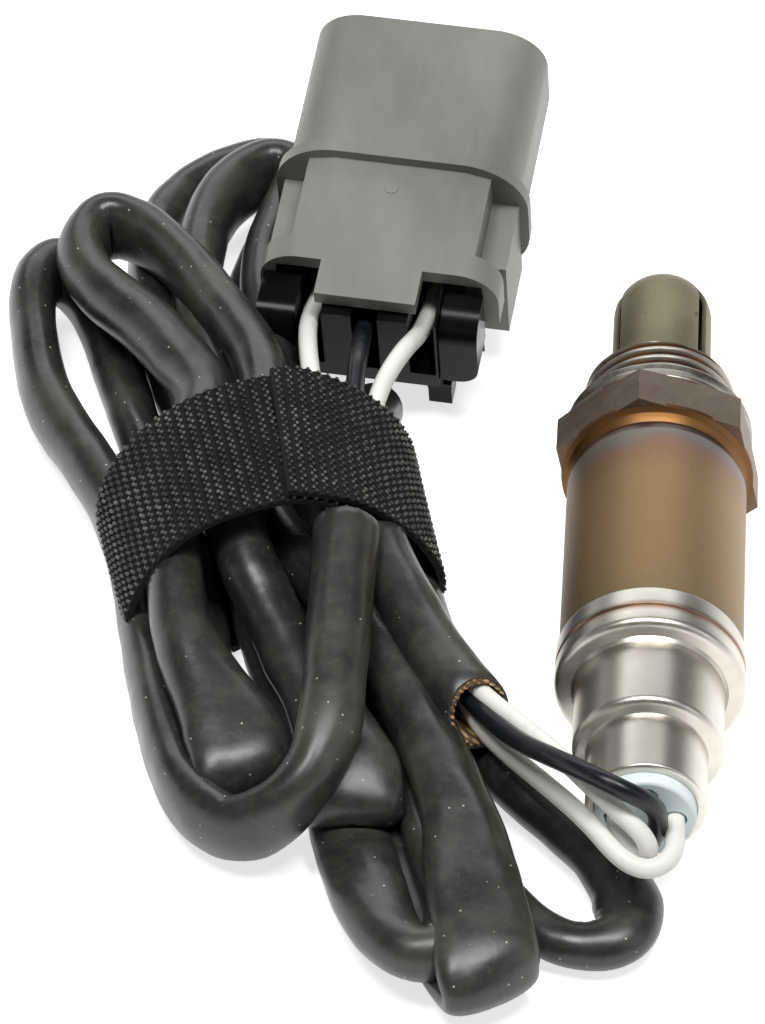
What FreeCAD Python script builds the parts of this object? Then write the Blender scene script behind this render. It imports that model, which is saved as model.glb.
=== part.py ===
import FreeCAD, Part
import math
import os
import Sketcher

os.makedirs("parts", exist_ok=True)
doc = FreeCAD.newDocument("OxygenSensor")
sheet = doc.addObject("Spreadsheet::Sheet", "Sizes")


# A size keeps its number and the expression that binds a feature to its cell.
class Size:
    def __init__(self, value, text):
        self.value = value
        self.text = text

    def join(self, other, sign, value):
        return Size(value, f"({self.text} {sign} {asSize(other).text})")

    def __add__(self, other):
        return self.join(other, "+", self.value + asSize(other).value)

    def __sub__(self, other):
        return self.join(other, "-", self.value - asSize(other).value)

    def __mul__(self, other):
        return self.join(other, "*", self.value * asSize(other).value)

    def __truediv__(self, other):
        return self.join(other, "/", self.value / asSize(other).value)

    def __neg__(self):
        return Size(-self.value, f"(0 - {self.text})")

    def cosine(self):
        return Size(math.cos(math.radians(self.value)), f"cos({self.text})")

    def sine(self):
        return Size(math.sin(math.radians(self.value)), f"sin({self.text})")


def asSize(item):
    return item if isinstance(item, Size) else Size(float(item), repr(float(item)))


filled = 0


def size(alias, value, note):
    global filled
    filled += 1
    sheet.set(f"A{filled}", note)
    sheet.set(f"B{filled}", str(value))
    sheet.setAlias(f"B{filled}", alias)
    return Size(value, f"Sizes.{alias}")


# Frame. The sensor lies along Y with its tip at +Y, and every length along it is
# counted from the rear face of the hexagon.
# Sensor, outside
hexFlats = size("hexFlats", 22.0, "hexagon across flats")
hexThick = size("hexThick", 5.6, "hexagon thickness")
hexTurn = size("hexTurn", 41.5, "angle of the first corner")
hexBevel = size("hexBevel", 1.0, "bevel length at the front corners")
threadRadius = size("threadRadius", 9.0, "thread outer radius, M18")
threadRun = size("threadRun", 7.2, "thread length past the gasket")
reliefRadius = size("reliefRadius", 8.4, "relief under the gasket")
threadBevel = size("threadBevel", 1.1, "bevel at the thread nose")
gasketRadius = size("gasketRadius", 11.25, "gasket outer radius")
gasketThick = size("gasketThick", 2.7, "gasket thickness")
gasketPlay = size("gasketPlay", 0.15, "gasket play on the thread")
neckRadius = size("neckRadius", 10.2, "weld neck radius")
neckRun = size("neckRun", 2.6, "weld neck length")
guardRadius = size("guardRadius", 10.6, "guard tube outer radius")
guardWall = size("guardWall", 0.8, "guard tube wall")
guardRun = size("guardRun", 28.2, "guard tube visible length")
lapRun = size("lapRun", 4.4, "rear shell lap on the guard tube")
lapDepth = size("lapDepth", 0.25, "step of the lapped end")
shellWall = size("shellWall", 0.6, "rear shell wall")
collarRun = size("collarRun", 5.8, "collar length")
midRadius = size("midRadius", 8.6, "middle step radius")
midRun = size("midRun", 9.9, "middle step length")
endRadius = size("endRadius", 6.85, "rear step radius")
endRun = size("endRun", 8.4, "rear step length")
collarRound = size("collarRound", 0.9, "collar shoulder rounding")
stepRound = size("stepRound", 0.9, "second shoulder rounding")
stepSlope = size("stepSlope", 0.4, "set back of each step face")
stepFillet = size("stepFillet", 0.35, "fillet at the foot of each step")
crimpLip = size("crimpLip", 0.5, "inward lip at the cable end")
seamFromEdge = size("seamFromEdge", 2.9, "weld groove from the collar edge")
seamDepth = size("seamDepth", 0.22, "weld groove depth")
tipRadius = size("tipRadius", 5.95, "protection tube outer radius")
tipWall = size("tipWall", 0.6, "protection tube wall")
tipRun = size("tipRun", 19.0, "protection tube length out of the thread")
slotWide = size("slotWide", 1.6, "protection slot width")
slotFrom = size("slotFrom", 1.4, "slot start past the thread nose")
slotStop = size("slotStop", 2.8, "slot end before the tip")
slotTurn = size("slotTurn", 36.0, "angle of the first slot")

# Sensor, inside
chamberRadius = size("chamberRadius", 7.2, "chamber radius in the housing")
noseLip = size("noseLip", 2.2, "lip that holds the protection tube")
flangeThick = size("flangeThick", 0.8, "protection tube flange")
innerRadius = size("innerRadius", 4.5, "inner tube radius")
innerWall = size("innerWall", 0.4, "inner tube wall")
innerGap = size("innerGap", 1.6, "inner tube end before the tip")
ventRadius = size("ventRadius", 0.6, "inner tube vent radius")
thimbleRadius = size("thimbleRadius", 3.3, "sensing thimble finger radius")
thimbleRun = size("thimbleRun", 15.0, "sensing thimble finger length")
thimbleCollar = size("thimbleCollar", 6.9, "sensing thimble collar radius")
collarThick = size("collarThick", 4.2, "sensing thimble collar thickness")
thimbleTail = size("thimbleTail", 4.8, "sensing thimble tail radius")
tailRun = size("tailRun", 9.0, "sensing thimble tail length")
thimbleBore = size("thimbleBore", 1.9, "sensing thimble bore radius")
sealThick = size("sealThick", 0.8, "thimble seal ring thickness")
packRun = size("packRun", 4.4, "seal packing length")
bushRun = size("bushRun", 5.0, "pressing bush length")
springThick = size("springThick", 0.7, "disc spring thickness")
heaterRadius = size("heaterRadius", 1.6, "heater rod radius")
heaterTail = size("heaterTail", 22.0, "heater rod behind the hexagon")
clipWall = size("clipWall", 0.4, "contact clip wall")
clipRun = size("clipRun", 7.0, "contact clip length")
insulatorRadius = size("insulatorRadius", 7.0, "rear insulator radius")
insulatorBore = size("insulatorBore", 2.3, "rear insulator bore radius")
grommetProud = size("grommetProud", 1.6, "cable grommet behind the rim")
grommetRun = size("grommetRun", 8.0, "cable grommet length")
holePitch = size("holePitch", 3.3, "cable holes from the middle")
holeRadius = size("holeRadius", 1.35, "cable hole radius")
wireRadius = size("wireRadius", 1.05, "lead wire radius")
ferruleRadius = size("ferruleRadius", 1.25, "crimp ferrule radius")
tongueRadius = size("tongueRadius", 0.6, "contact tongue radius")
tongueRun = size("tongueRun", 6.0, "contact tongue length")

# Connector, in its own frame: Y runs to the mating end, Z is up
shroudWide = size("shroudWide", 29.0, "mating shroud width")
shroudTall = size("shroudTall", 18.6, "mating shroud height")
shroudRun = size("shroudRun", 20.4, "mating shroud length")
shroudRound = size("shroudRound", 6.2, "mating shroud corner radius")
shroudWall = size("shroudWall", 1.6, "mating shroud wall")
socketDeep = size("socketDeep", 18.4, "mating socket depth")
rimWide = size("rimWide", 31.4, "stop flange width")
rimTall = size("rimTall", 21.4, "stop flange height")
rimRound = size("rimRound", 8.0, "stop flange corner radius")
rimThick = size("rimThick", 1.6, "stop flange thickness")
rimFrom = size("rimFrom", 15.3, "flange from the rear of the hood")
deckWide = size("deckWide", 22.6, "raised deck width")
deckTall = size("deckTall", 5.8, "raised deck height over the block")
blockStep = size("blockStep", 3.3, "lower block past the deck, each side")
blockTall = size("blockTall", 13.0, "lower block height")
blockRun = size("blockRun", 9.6, "lower block length behind the flange")
hoodStep = size("hoodStep", 3.4, "rear hood past the deck, each side")
hoodTall = size("hoodTall", 9.0, "rear hood depth down the sides")
hoodRun = size("hoodRun", 3.4, "rear hood length")
hoodDeep = size("hoodDeep", 1.6, "rear hood open depth")
hoodThick = size("hoodThick", 2.0, "rear hood thickness")
hoodRound = size("hoodRound", 5.0, "rear hood corner radius")
tabWide = size("tabWide", 12.4, "latch tab width")
tabRun = size("tabRun", 5.0, "latch tab length past the hood")
tabThick = size("tabThick", 2.0, "latch tab thickness")
gateRadius = size("gateRadius", 0.85, "gate mark radius")
gateProud = size("gateProud", 0.12, "gate mark height")
rowShift = size("rowShift", -0.7, "terminal row from the middle")
cavityWide = size("cavityWide", 18.0, "rear cavity width")
cavityTall = size("cavityTall", 14.6, "rear cavity height")
cavityDeep = size("cavityDeep", 5.0, "rear cavity depth")
terminalPitch = size("terminalPitch", 6.9, "terminal pitch")
sealBore = size("sealBore", 2.5, "seal bore radius")
sealRun = size("sealRun", 5.0, "wire seal length")
bladeWide = size("bladeWide", 2.8, "blade width")
bladeThick = size("bladeThick", 0.8, "blade thickness")
bladeRun = size("bladeRun", 9.0, "blade length in the socket")
barrelRadius = size("barrelRadius", 1.5, "crimp barrel radius")
fitPlay = size("fitPlay", 0.2, "play between moulded pieces")
keeperRun = size("keeperRun", 6.2, "retainer length behind the hood")
keeperTall = size("keeperTall", 16.4, "retainer height")
keeperWide = size("keeperWide", 22.4, "retainer block width")
lobeWide = size("lobeWide", 4.4, "retainer side lobe width")
lobeRun = size("lobeRun", 1.4, "retainer side lobe past the block")
channelWide = size("channelWide", 3.2, "wire channel width")
channelInner = size("channelInner", 2.6, "wire channel width inside the housing")
channelFloor = size("channelFloor", 6.0, "wire channel floor height")
footWide = size("footWide", 2.9, "retainer foot width")
footDrop = size("footDrop", 3.0, "retainer foot below the retainer")
footFrom = size("footFrom", 7.6, "retainer foot from the middle")
footBack = size("footBack", 4.0, "retainer foot behind the hood")
hookReach = size("hookReach", 2.4, "side hook reach")
hookTall = size("hookTall", 3.6, "side hook height")
ribThick = size("ribThick", 1.2, "socket key rib thickness")
ribTall = size("ribTall", 1.8, "socket key rib height")

# Where the connector lies
plugX = size("plugX", -34.0, "connector origin across")
plugY = size("plugY", 42.0, "connector origin along")
plugYaw = size("plugYaw", -7.5, "connector turn on the floor")
plugTilt = size("plugTilt", 15.0, "connector rise to its mating end")

# Lead wires, sleeve and strap
sleeveThick = size("sleeveThick", 7.6, "braided sleeve diameter")
strapWide = size("strapWide", 20.0, "strap width")
strapSpan = size("strapSpan", 40.0, "strap loop width")
strapTall = size("strapTall", 24.0, "strap loop height")
strapThick = size("strapThick", 1.4, "strap thickness")
strapRound = size("strapRound", 11.9, "strap loop corner radius")
strapX = size("strapX", -45.5, "strap middle across")
strapY = size("strapY", 2.5, "strap middle along")
strapYaw = size("strapYaw", 15.0, "strap turn on the floor")
coreWide = size("coreWide", 36.0, "bundle width in the strap")
coreLow = size("coreLow", 2.4, "bundle underside in the strap")
coreTop = size("coreTop", 18.8, "bundle top in the strap")
coreRound = size("coreRound", 8.2, "bundle corner radius in the strap")
coreRun = size("coreRun", 29.0, "bundle length through the strap")

doc.recompute()

nodes = []


def node(item, label):
    item.Label = label
    nodes.append(item)
    return item


def body(label):
    return node(doc.addObject("PartDesign::Body", "Body_" + label), label)


def plane(owner, role):
    return [item for item in owner.Origin.OriginFeatures if item.Role == role][0]


def sketchOn(owner, role, name, lift=None):
    sketch = owner.newObject("Sketcher::SketchObject", name)
    sketch.AttachmentSupport = [(plane(owner, role), "")]
    sketch.MapMode = "FlatFace"
    if lift is not None:
        sketch.AttachmentOffset = FreeCAD.Placement(FreeCAD.Vector(0, 0, lift.value), FreeCAD.Rotation())
        sketch.setExpression("AttachmentOffset.Base.z", lift.text)
    return sketch


def pin(sketch, geometry, end, x, y):
    for kind, measure in (("DistanceX", asSize(x)), ("DistanceY", asSize(y))):
        index = sketch.addConstraint(Sketcher.Constraint(kind, -1, 1, geometry, end, measure.value))
        sketch.setExpression(f"Constraints[{index}]", measure.text)


# A closed outline of straight lines, each corner tied to its own pair of sizes.
def outline(sketch, corners):
    points = [FreeCAD.Vector(asSize(x).value, asSize(y).value, 0) for x, y in corners]
    first = sketch.GeometryCount
    count = len(points)
    for i in range(count):
        sketch.addGeometry(Part.LineSegment(points[i], points[(i + 1) % count]), False)
    for i in range(count):
        sketch.addConstraint(Sketcher.Constraint("Coincident", first + i, 2, first + (i + 1) % count, 1))
    for i, (x, y) in enumerate(corners):
        pin(sketch, first + i, 1, x, y)
    return sketch


def rectangle(sketch, left, low, right, high):
    return outline(sketch, [(left, low), (right, low), (right, high), (left, high)])


def circle(sketch, x, y, radius):
    radius = asSize(radius)
    middle = FreeCAD.Vector(asSize(x).value, asSize(y).value, 0)
    index = sketch.addGeometry(Part.Circle(middle, FreeCAD.Vector(0, 0, 1), radius.value), False)
    pin(sketch, index, 3, x, y)
    limit = sketch.addConstraint(Sketcher.Constraint("Radius", index, radius.value))
    sketch.setExpression(f"Constraints[{limit}]", radius.text)
    return sketch


# Each feature must add or take material, in the direction its kind promises.
def grown(owner, feature, before):
    doc.recompute()
    change = owner.Shape.Volume - before
    takes = feature.TypeId.endswith(("Pocket", "Groove", "Fillet", "Chamfer"))
    if not takes and change <= 0 or takes and abs(change) < 1e-4:
        raise RuntimeError(f"{owner.Label} {feature.Name} changed the volume by {change:.4f}")
    return feature


def volume(owner):
    return owner.Shape.Volume if owner.Tip and not owner.Shape.isNull() else 0.0


def turned(owner, name, corners, kind="Revolution"):
    before = volume(owner)
    sketch = outline(sketchOn(owner, "XY_Plane", name + "Profile"), corners)
    feature = owner.newObject("PartDesign::" + kind, name)
    feature.Profile = sketch
    feature.ReferenceAxis = (sketch, ["V_Axis"])
    feature.Angle = 360
    return grown(owner, feature, before)


# A pad or pocket along Y, from one distance along it to another.
def along(owner, name, draw, start, stop, kind="Pad"):
    before = volume(owner)
    start, stop = asSize(start), asSize(stop)
    sketch = sketchOn(owner, "XZ_Plane", name + "Profile", -start)
    draw(sketch)
    feature = owner.newObject("PartDesign::" + kind, name)
    feature.Profile = sketch
    feature.Reversed = kind == "Pad"
    length = stop - start
    feature.Length = length.value
    feature.setExpression("Length", length.text)
    return grown(owner, feature, before)


def dressed(owner, name, kind, amount, wanted):
    before = volume(owner)
    base = owner.Tip
    edges = [f"Edge{i + 1}" for i, edge in enumerate(base.Shape.Edges) if wanted(edge)]
    if not edges:
        raise RuntimeError(f"{owner.Label} {name} found no edge")
    feature = owner.newObject("PartDesign::" + kind, name)
    feature.Base = (base, edges)
    setting = "Radius" if kind == "Fillet" else "Size"
    setattr(feature, setting, amount.value)
    feature.setExpression(setting, amount.text)
    return grown(owner, feature, before)


# Rings of a turned piece, found by radius and distance along it.
def ringAt(radius, distance):
    radius, distance = asSize(radius).value, asSize(distance).value

    def wanted(edge):
        curve = edge.Curve
        return (curve.TypeId == "Part::GeomCircle" and abs(curve.Radius - radius) < 0.01
                and abs(curve.Center.y - distance) < 0.01)
    return wanted


def anyOf(*tests):
    return lambda edge: any(test(edge) for test in tests)


def edgeAlong(axis, *tests):
    def wanted(edge):
        if edge.Curve.TypeId != "Part::GeomLine":
            return False
        way = edge.Curve.Direction
        middle = edge.CenterOfMass
        return abs(abs(getattr(way, axis)) - 1) < 1e-6 and all(test(middle) for test in tests)
    return wanted


hexCorner = hexFlats / math.sqrt(3)
lowCorner = hexTurn + 240
axisHeight = -(hexCorner * lowCorner.sine())
guardStart = -neckRun
collarStart = guardStart - guardRun
collarStop = collarStart - collarRun
midStart = collarStop - stepSlope
midStop = midStart - midRun
endStart = midStop - stepSlope
rimEnd = endStart - endRun
tail = rimEnd - grommetProud
gasketStop = hexThick + gasketThick
threadStop = gasketStop + threadRun
tip = threadStop + tipRun
middle = -((tip + tail) / 2)


def lay(item):
    spot = FreeCAD.Vector(0, middle.value, axisHeight.value)
    item.Placement = FreeCAD.Placement(spot, FreeCAD.Rotation())
    item.setExpression("Placement.Base.y", middle.text)
    item.setExpression("Placement.Base.z", axisHeight.text)
    return item


# Threaded housing: one turned and milled piece of steel.
housing = lay(body("threaded_housing"))
seatStop = threadStop - noseLip
along(housing, "Hexagon", lambda s: outline(s, [
    (hexCorner * (hexTurn + 60 * i).cosine(), hexCorner * (hexTurn + 60 * i).sine()) for i in range(6)]),
    0, hexThick)
spigotRadius = guardRadius - guardWall
spigotStop = -neckRun - lapRun
turned(housing, "Barrel", [
    (tipRadius, threadStop), (threadRadius - threadBevel, threadStop), (threadRadius, threadStop - threadBevel),
    (threadRadius, gasketStop), (reliefRadius, gasketStop), (reliefRadius, hexThick), (neckRadius, hexThick),
    (neckRadius, guardStart), (spigotRadius, guardStart), (spigotRadius, spigotStop), (tipRadius, spigotStop)])
turned(housing, "Chamber", [
    (0, seatStop), (chamberRadius, seatStop), (chamberRadius, spigotStop), (0, spigotStop)], "Groove")
turned(housing, "Bevels", [
    (hexFlats / 2, hexThick), (hexCorner + 1, hexThick), (hexCorner + 1, hexThick - hexBevel),
    (hexCorner, hexThick - hexBevel)], "Groove")
dressed(housing, "NeckFillet", "Fillet", stepFillet, ringAt(neckRadius, 0))

# Gasket: a formed ring with rounded outer edges.
gasket = lay(body("gasket_ring"))
turned(gasket, "Ring", [
    (threadRadius + gasketPlay, hexThick), (gasketRadius, hexThick), (gasketRadius, gasketStop),
    (threadRadius + gasketPlay, gasketStop)])
dressed(gasket, "Rounding", "Fillet", gasketThick * 0.32, anyOf(
    ringAt(gasketRadius, hexThick), ringAt(gasketRadius, gasketStop)))

# Guard tube: its rear end is drawn in for the rear shell's lap.
guard = lay(body("guard_tube"))
lapRadius = guardRadius - lapDepth
boreRadius = guardRadius - guardWall
turned(guard, "Tube", [
    (boreRadius, guardStart), (guardRadius, guardStart), (guardRadius, collarStart),
    (lapRadius, collarStart), (lapRadius, collarStart - lapRun), (boreRadius, collarStart - lapRun)])
dressed(guard, "Rim", "Fillet", guardWall * 0.5, ringAt(guardRadius, guardStart))

# Rear shell: drawn in two steps down to the crimp on the grommet.
shell = lay(body("rear_shell"))
collarRadius = lapRadius + shellWall
midBore = midRadius - shellWall
endBore = endRadius - shellWall
seamAt = collarStart - seamFromEdge
turned(shell, "Steps", [
    (lapRadius, collarStart), (collarRadius, collarStart), (collarRadius, collarStop),
    (midRadius, midStart), (midRadius, midStop), (endRadius, endStart), (endRadius, rimEnd),
    (endBore - crimpLip, rimEnd), (endBore - crimpLip, rimEnd + shellWall), (endBore, rimEnd + shellWall),
    (endBore, endStart + shellWall), (midBore, midStop + shellWall), (midBore, midStart + shellWall),
    (lapRadius, collarStop + shellWall)])
turned(shell, "WeldSeam", [
    (collarRadius - seamDepth, seamAt), (collarRadius, seamAt + seamDepth),
    (collarRadius + 1, seamAt + seamDepth), (collarRadius + 1, seamAt - seamDepth),
    (collarRadius, seamAt - seamDepth)], "Groove")
dressed(shell, "CollarRounding", "Fillet", collarRound, ringAt(collarRadius, collarStop))
dressed(shell, "StepRounding", "Fillet", stepRound, ringAt(midRadius, midStop))
dressed(shell, "StepFillets", "Fillet", stepFillet, anyOf(
    ringAt(midRadius, midStart), ringAt(endRadius, endStart), ringAt(endRadius, rimEnd)))

# Protection tube: a domed cap with three slots that run up over the dome.
protection = lay(body("protection_tube"))


def domed(owner, name, outer, wall, base, end, foot=None):
    before = volume(owner)
    sketch = sketchOn(owner, "XY_Plane", name + "Profile")
    inner = outer - wall
    centre = end - outer
    points = [(0, end - wall), (0, end), (outer, centre), (outer, base), (inner, base), (inner, centre)]
    if foot is not None:
        reach, thick = foot
        points[3:4] = [(outer, base + thick), (reach, base + thick), (reach, base)]
    spots = [FreeCAD.Vector(asSize(x).value, asSize(y).value, 0) for x, y in points]
    heart = FreeCAD.Vector(0, centre.value, 0)
    up = FreeCAD.Vector(0, 0, 1)
    count = len(points)
    sketch.addGeometry(Part.LineSegment(spots[0], spots[1]), False)
    sketch.addGeometry(Part.ArcOfCircle(Part.Circle(heart, up, outer.value), 0, math.pi / 2), False)
    for i in range(2, count - 1):
        sketch.addGeometry(Part.LineSegment(spots[i], spots[i + 1]), False)
    sketch.addGeometry(Part.ArcOfCircle(Part.Circle(heart, up, inner.value), 0, math.pi / 2), False)
    last = count - 1
    sketch.addConstraint(Sketcher.Constraint("Coincident", 0, 2, 1, 2))
    sketch.addConstraint(Sketcher.Constraint("Coincident", 1, 1, 2, 1))
    for i in range(2, count - 2):
        sketch.addConstraint(Sketcher.Constraint("Coincident", i, 2, i + 1, 1))
    sketch.addConstraint(Sketcher.Constraint("Coincident", count - 2, 2, last, 1))
    sketch.addConstraint(Sketcher.Constraint("Coincident", last, 2, 0, 1))
    pin(sketch, 1, 3, 0, centre)
    pin(sketch, last, 3, 0, centre)
    for end in (1, 2):
        sketch.addConstraint(Sketcher.Constraint("PointOnObject", 0, end, -2))
    for i in range(2, count):
        pin(sketch, i, 1, *points[i])
    feature = owner.newObject("PartDesign::Revolution", name)
    feature.Profile = sketch
    feature.ReferenceAxis = (sketch, ["V_Axis"])
    feature.Angle = 360
    return grown(owner, feature, before)


flangeBack = seatStop - flangeThick
domed(protection, "Cap", tipRadius, tipWall, flangeBack, tip, (chamberRadius, flangeThick))
slotReach = tipRadius * 2


def slotShape(sketch):
    across = (slotTurn + 90)
    for i in range(3):
        way = slotTurn + 120 * i
        side = across + 120 * i
        half = slotWide / 2
        near = innerRadius / 2
        corners = []
        for distance, sign in ((near, 1), (slotReach, 1), (slotReach, -1), (near, -1)):
            corners.append((way.cosine() * distance + side.cosine() * half * sign,
                            way.sine() * distance + side.sine() * half * sign))
        outline(sketch, corners)


slotEnd = tip - slotStop
along(protection, "Slots", slotShape, threadStop + slotFrom, slotEnd, "Pocket")

# Inner tube: a plain cap with vents, held under the same lip.
inner = lay(body("inner_tube"))
innerFoot = flangeBack - flangeThick
innerEnd = tip - tipWall - innerGap
domed(inner, "Cap", innerRadius, innerWall, innerFoot, innerEnd, (chamberRadius, flangeThick))
for number, reach in enumerate((0.35, 0.65)):
    before = volume(inner)
    vent = sketchOn(inner, "XY_Plane", f"Vent{number}Profile", innerRadius + 1)
    circle(vent, 0, threadStop + tipRun * reach, ventRadius)
    hole = inner.newObject("PartDesign::Pocket", f"Vent{number}")
    hole.Profile = vent
    hole.Length = innerRadius.value * 2 + 2
    hole.setExpression("Length", ((innerRadius + 1) * 2).text)
    grown(inner, hole, before)

# Sensing thimble: a closed ceramic finger with a collar, bored from behind.
thimble = lay(body("sensing_thimble"))
collarFront = innerFoot - sealThick
collarBack = collarFront - collarThick
fingerEnd = collarFront + thimbleRun
heaterFront = fingerEnd - thimbleRadius / 2
tailEnd = collarBack - tailRun
turned(thimble, "Finger", [
    (0, fingerEnd), (thimbleRadius, fingerEnd), (thimbleRadius, collarFront), (thimbleCollar, collarFront),
    (thimbleCollar, collarBack), (thimbleTail, collarBack), (thimbleTail, tailEnd), (0, tailEnd)])
turned(thimble, "Bore", [
    (0, heaterFront), (thimbleBore, heaterFront), (thimbleBore, tailEnd), (0, tailEnd)], "Groove")
dressed(thimble, "Nose", "Fillet", thimbleRadius * 0.8, ringAt(thimbleRadius, fingerEnd))


def ring(label, inside, outside, start, stop):
    turned(lay(body(label)), "Ring", [(inside, start), (outside, start), (outside, stop), (inside, stop)])


ring("thimble_seal_ring", thimbleRadius, chamberRadius, collarFront, innerFoot)
packBack = collarBack - packRun
ring("seal_packing", thimbleTail, chamberRadius, packBack, collarBack)
bushBack = packBack - bushRun
ring("pressing_bush", thimbleTail, chamberRadius, bushBack, packBack)

# Disc spring: a dished washer between the bush and the insulator.
spring = lay(body("disc_spring"))
springBack = bushBack - springThick * 2
turned(spring, "Dish", [
    (thimbleTail, bushBack - springThick), (chamberRadius - fitPlay, bushBack),
    (chamberRadius - fitPlay, bushBack - springThick), (thimbleTail, springBack)])

# Heater rod, from inside the finger to the rear insulator.
heater = lay(body("heater_rod"))
turned(heater, "Rod", [
    (0, heaterFront), (heaterRadius, heaterFront), (heaterRadius, -heaterTail), (0, -heaterTail)])
dressed(heater, "RodEdge", "Chamfer", heaterRadius * 0.2, ringAt(heaterRadius, -heaterTail))

# Contact clip: grips the heater rod behind the thimble.
ring("contact_clip", heaterRadius, heaterRadius + clipWall, tailEnd - clipRun, tailEnd)

# Rear insulator: a ceramic post, bored for the heater, seated on the shell's step.
insulator = lay(body("rear_insulator"))
insulatorBack = midStop + shellWall
boreEnd = -heaterTail - clipWall
turned(insulator, "Post", [
    (insulatorBore, springBack), (insulatorRadius, springBack), (insulatorRadius, insulatorBack),
    (0, insulatorBack), (0, boreEnd), (insulatorBore, boreEnd)])


def fourHoles(radius):
    def draw(sketch):
        for i in range(4):
            turn = asSize(90.0 * i)
            circle(sketch, holePitch * turn.cosine(), holePitch * turn.sine(), radius)
        return sketch
    return draw


passageRadius = tongueRadius * 1.5
along(insulator, "Passages", fourHoles(passageRadius), insulatorBack, insulatorBack + tongueRun, "Pocket")

# Cable grommet: white fluoropolymer with four holes, crimped in the shell.
grommet = lay(body("cable_grommet"))
grommetFront = tail + grommetRun
turned(grommet, "Plug", [
    (0, tail), (endBore - crimpLip, tail), (endBore - crimpLip, rimEnd + shellWall),
    (endBore, rimEnd + shellWall), (endBore, grommetFront), (0, grommetFront)])
along(grommet, "Holes", fourHoles(holeRadius), tail, grommetFront, "Pocket")
dressed(grommet, "Edge", "Fillet", crimpLip, ringAt(endBore - crimpLip, tail))

# Crimp ferrules: three of the four places are used, the upper one is empty.
usedTurns = {"left": 180.0, "low": 270.0, "right": 0.0}
for name, turn in usedTurns.items():
    ferrule = lay(body("lead_ferrule_" + name))
    spotX = holePitch * asSize(turn).cosine()
    spotZ = holePitch * asSize(turn).sine()
    along(ferrule, "Barrel", lambda s: circle(s, spotX, spotZ, ferruleRadius), grommetFront, insulatorBack)
    along(ferrule, "Tongue", lambda s: circle(s, spotX, spotZ, tongueRadius), insulatorBack,
          insulatorBack + tongueRun)

# Connector frame: the foot of the retainer stands on the floor.
plugZ = plugTilt.sine() * footBack + plugTilt.cosine() * footDrop


def layPlug(item):
    turn = FreeCAD.Rotation(plugYaw.value, 0, plugTilt.value)
    item.Placement = FreeCAD.Placement(FreeCAD.Vector(plugX.value, plugY.value, plugZ.value), turn)
    item.setExpression("Placement.Base.x", plugX.text)
    item.setExpression("Placement.Base.y", plugY.text)
    item.setExpression("Placement.Base.z", plugZ.text)
    return item


deckTop = blockTall + deckTall
blockWide = deckWide + blockStep * 2
hoodWide = deckWide + hoodStep * 2
plugMid = deckTop - shroudTall / 2
shroudStart = rimFrom + rimThick
mouth = shroudStart + shroudRun
partition = mouth - socketDeep
cavityStop = hoodDeep + cavityDeep
sealFront = cavityStop + sealRun
barrelStop = partition - shroudWall
cavityLow = (deckTop - cavityTall) / 2
cavityHigh = cavityLow + cavityTall


def block(wide, low, high, shift=0.0):
    wide, shift = asSize(wide), asSize(shift)
    return lambda sketch: rectangle(sketch, shift - wide / 2, low, shift + wide / 2, high)


# A rectangle with rounded corners, lines and arcs in turn.
def roundedBlock(wide, low, high, radius):
    def draw(sketch):
        side = wide / 2
        turns = [(side, low, 1, -1), (side, high, 1, 1), (-side, high, -1, 1), (-side, low, -1, -1)]
        first = sketch.GeometryCount
        ends = []
        for x, y, across, up in turns:
            near, level = x - radius * across, y - radius * up
            ends.append(((near, y), (x, level)) if across == -up else ((x, level), (near, y)))
            heart = FreeCAD.Vector(near.value, level.value, 0)
            start = math.radians({(1, -1): 270, (1, 1): 0, (-1, 1): 90, (-1, -1): 180}[(across, up)])
            shape = Part.Circle(heart, FreeCAD.Vector(0, 0, 1), radius.value)
            arc = sketch.addGeometry(Part.ArcOfCircle(shape, start, start + math.pi / 2), False)
            limit = sketch.addConstraint(Sketcher.Constraint("Radius", arc, radius.value))
            sketch.setExpression(f"Constraints[{limit}]", radius.text)
        for i in range(4):
            leave, arrive = ends[i][1], ends[(i + 1) % 4][0]
            spots = [FreeCAD.Vector(x.value, y.value, 0) for x, y in (leave, arrive)]
            line = sketch.addGeometry(Part.LineSegment(*spots), False)
            sketch.addConstraint(Sketcher.Constraint("Coincident", first + i, 2, line, 1))
            sketch.addConstraint(Sketcher.Constraint("Coincident", line, 2, first + (i + 1) % 4, 1))
            pin(sketch, line, 1, *leave)
            pin(sketch, line, 2, *arrive)
        return sketch
    return draw


def beyond(limit):
    return lambda point: abs(point.x) > limit.value - 0.01


def within(low, high):
    return lambda point: low.value - 0.01 < point.y < high.value + 0.01


def above(level):
    return lambda point: point.z > level.value - 0.01


# Connector housing: shroud, stop flange, lower block, raised deck, hood and tab.
connector = layPlug(body("connector_housing"))
shroudLow = plugMid - shroudTall / 2
along(connector, "Shroud", roundedBlock(shroudWide, shroudLow, deckTop, shroudRound), rimFrom, mouth)
along(connector, "Flange", roundedBlock(rimWide, plugMid - rimTall / 2, plugMid + rimTall / 2, rimRound),
      rimFrom, shroudStart)
along(connector, "Core", block(deckWide, 0, blockTall), hoodDeep, rimFrom)
along(connector, "Block", block(blockWide, 0, blockTall), rimFrom - blockRun, rimFrom)
deckBevel = shroudWall
along(connector, "Deck", lambda s: outline(s, [
    (-(deckWide / 2), blockTall), (deckWide / 2, blockTall), (deckWide / 2, deckTop - deckBevel / 2),
    (deckWide / 2 - deckBevel * 2, deckTop), (deckBevel * 2 - deckWide / 2, deckTop),
    (-(deckWide / 2), deckTop - deckBevel / 2)]), hoodDeep, rimFrom)
hoodLow = deckTop - hoodTall
along(connector, "Hood", block(hoodWide, hoodLow, deckTop), 0, hoodRun)
dressed(connector, "HoodCorners", "Fillet", hoodRound, edgeAlong(
    "y", beyond(hoodWide / 2), within(asSize(0), hoodRun), above(deckTop)))
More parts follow.
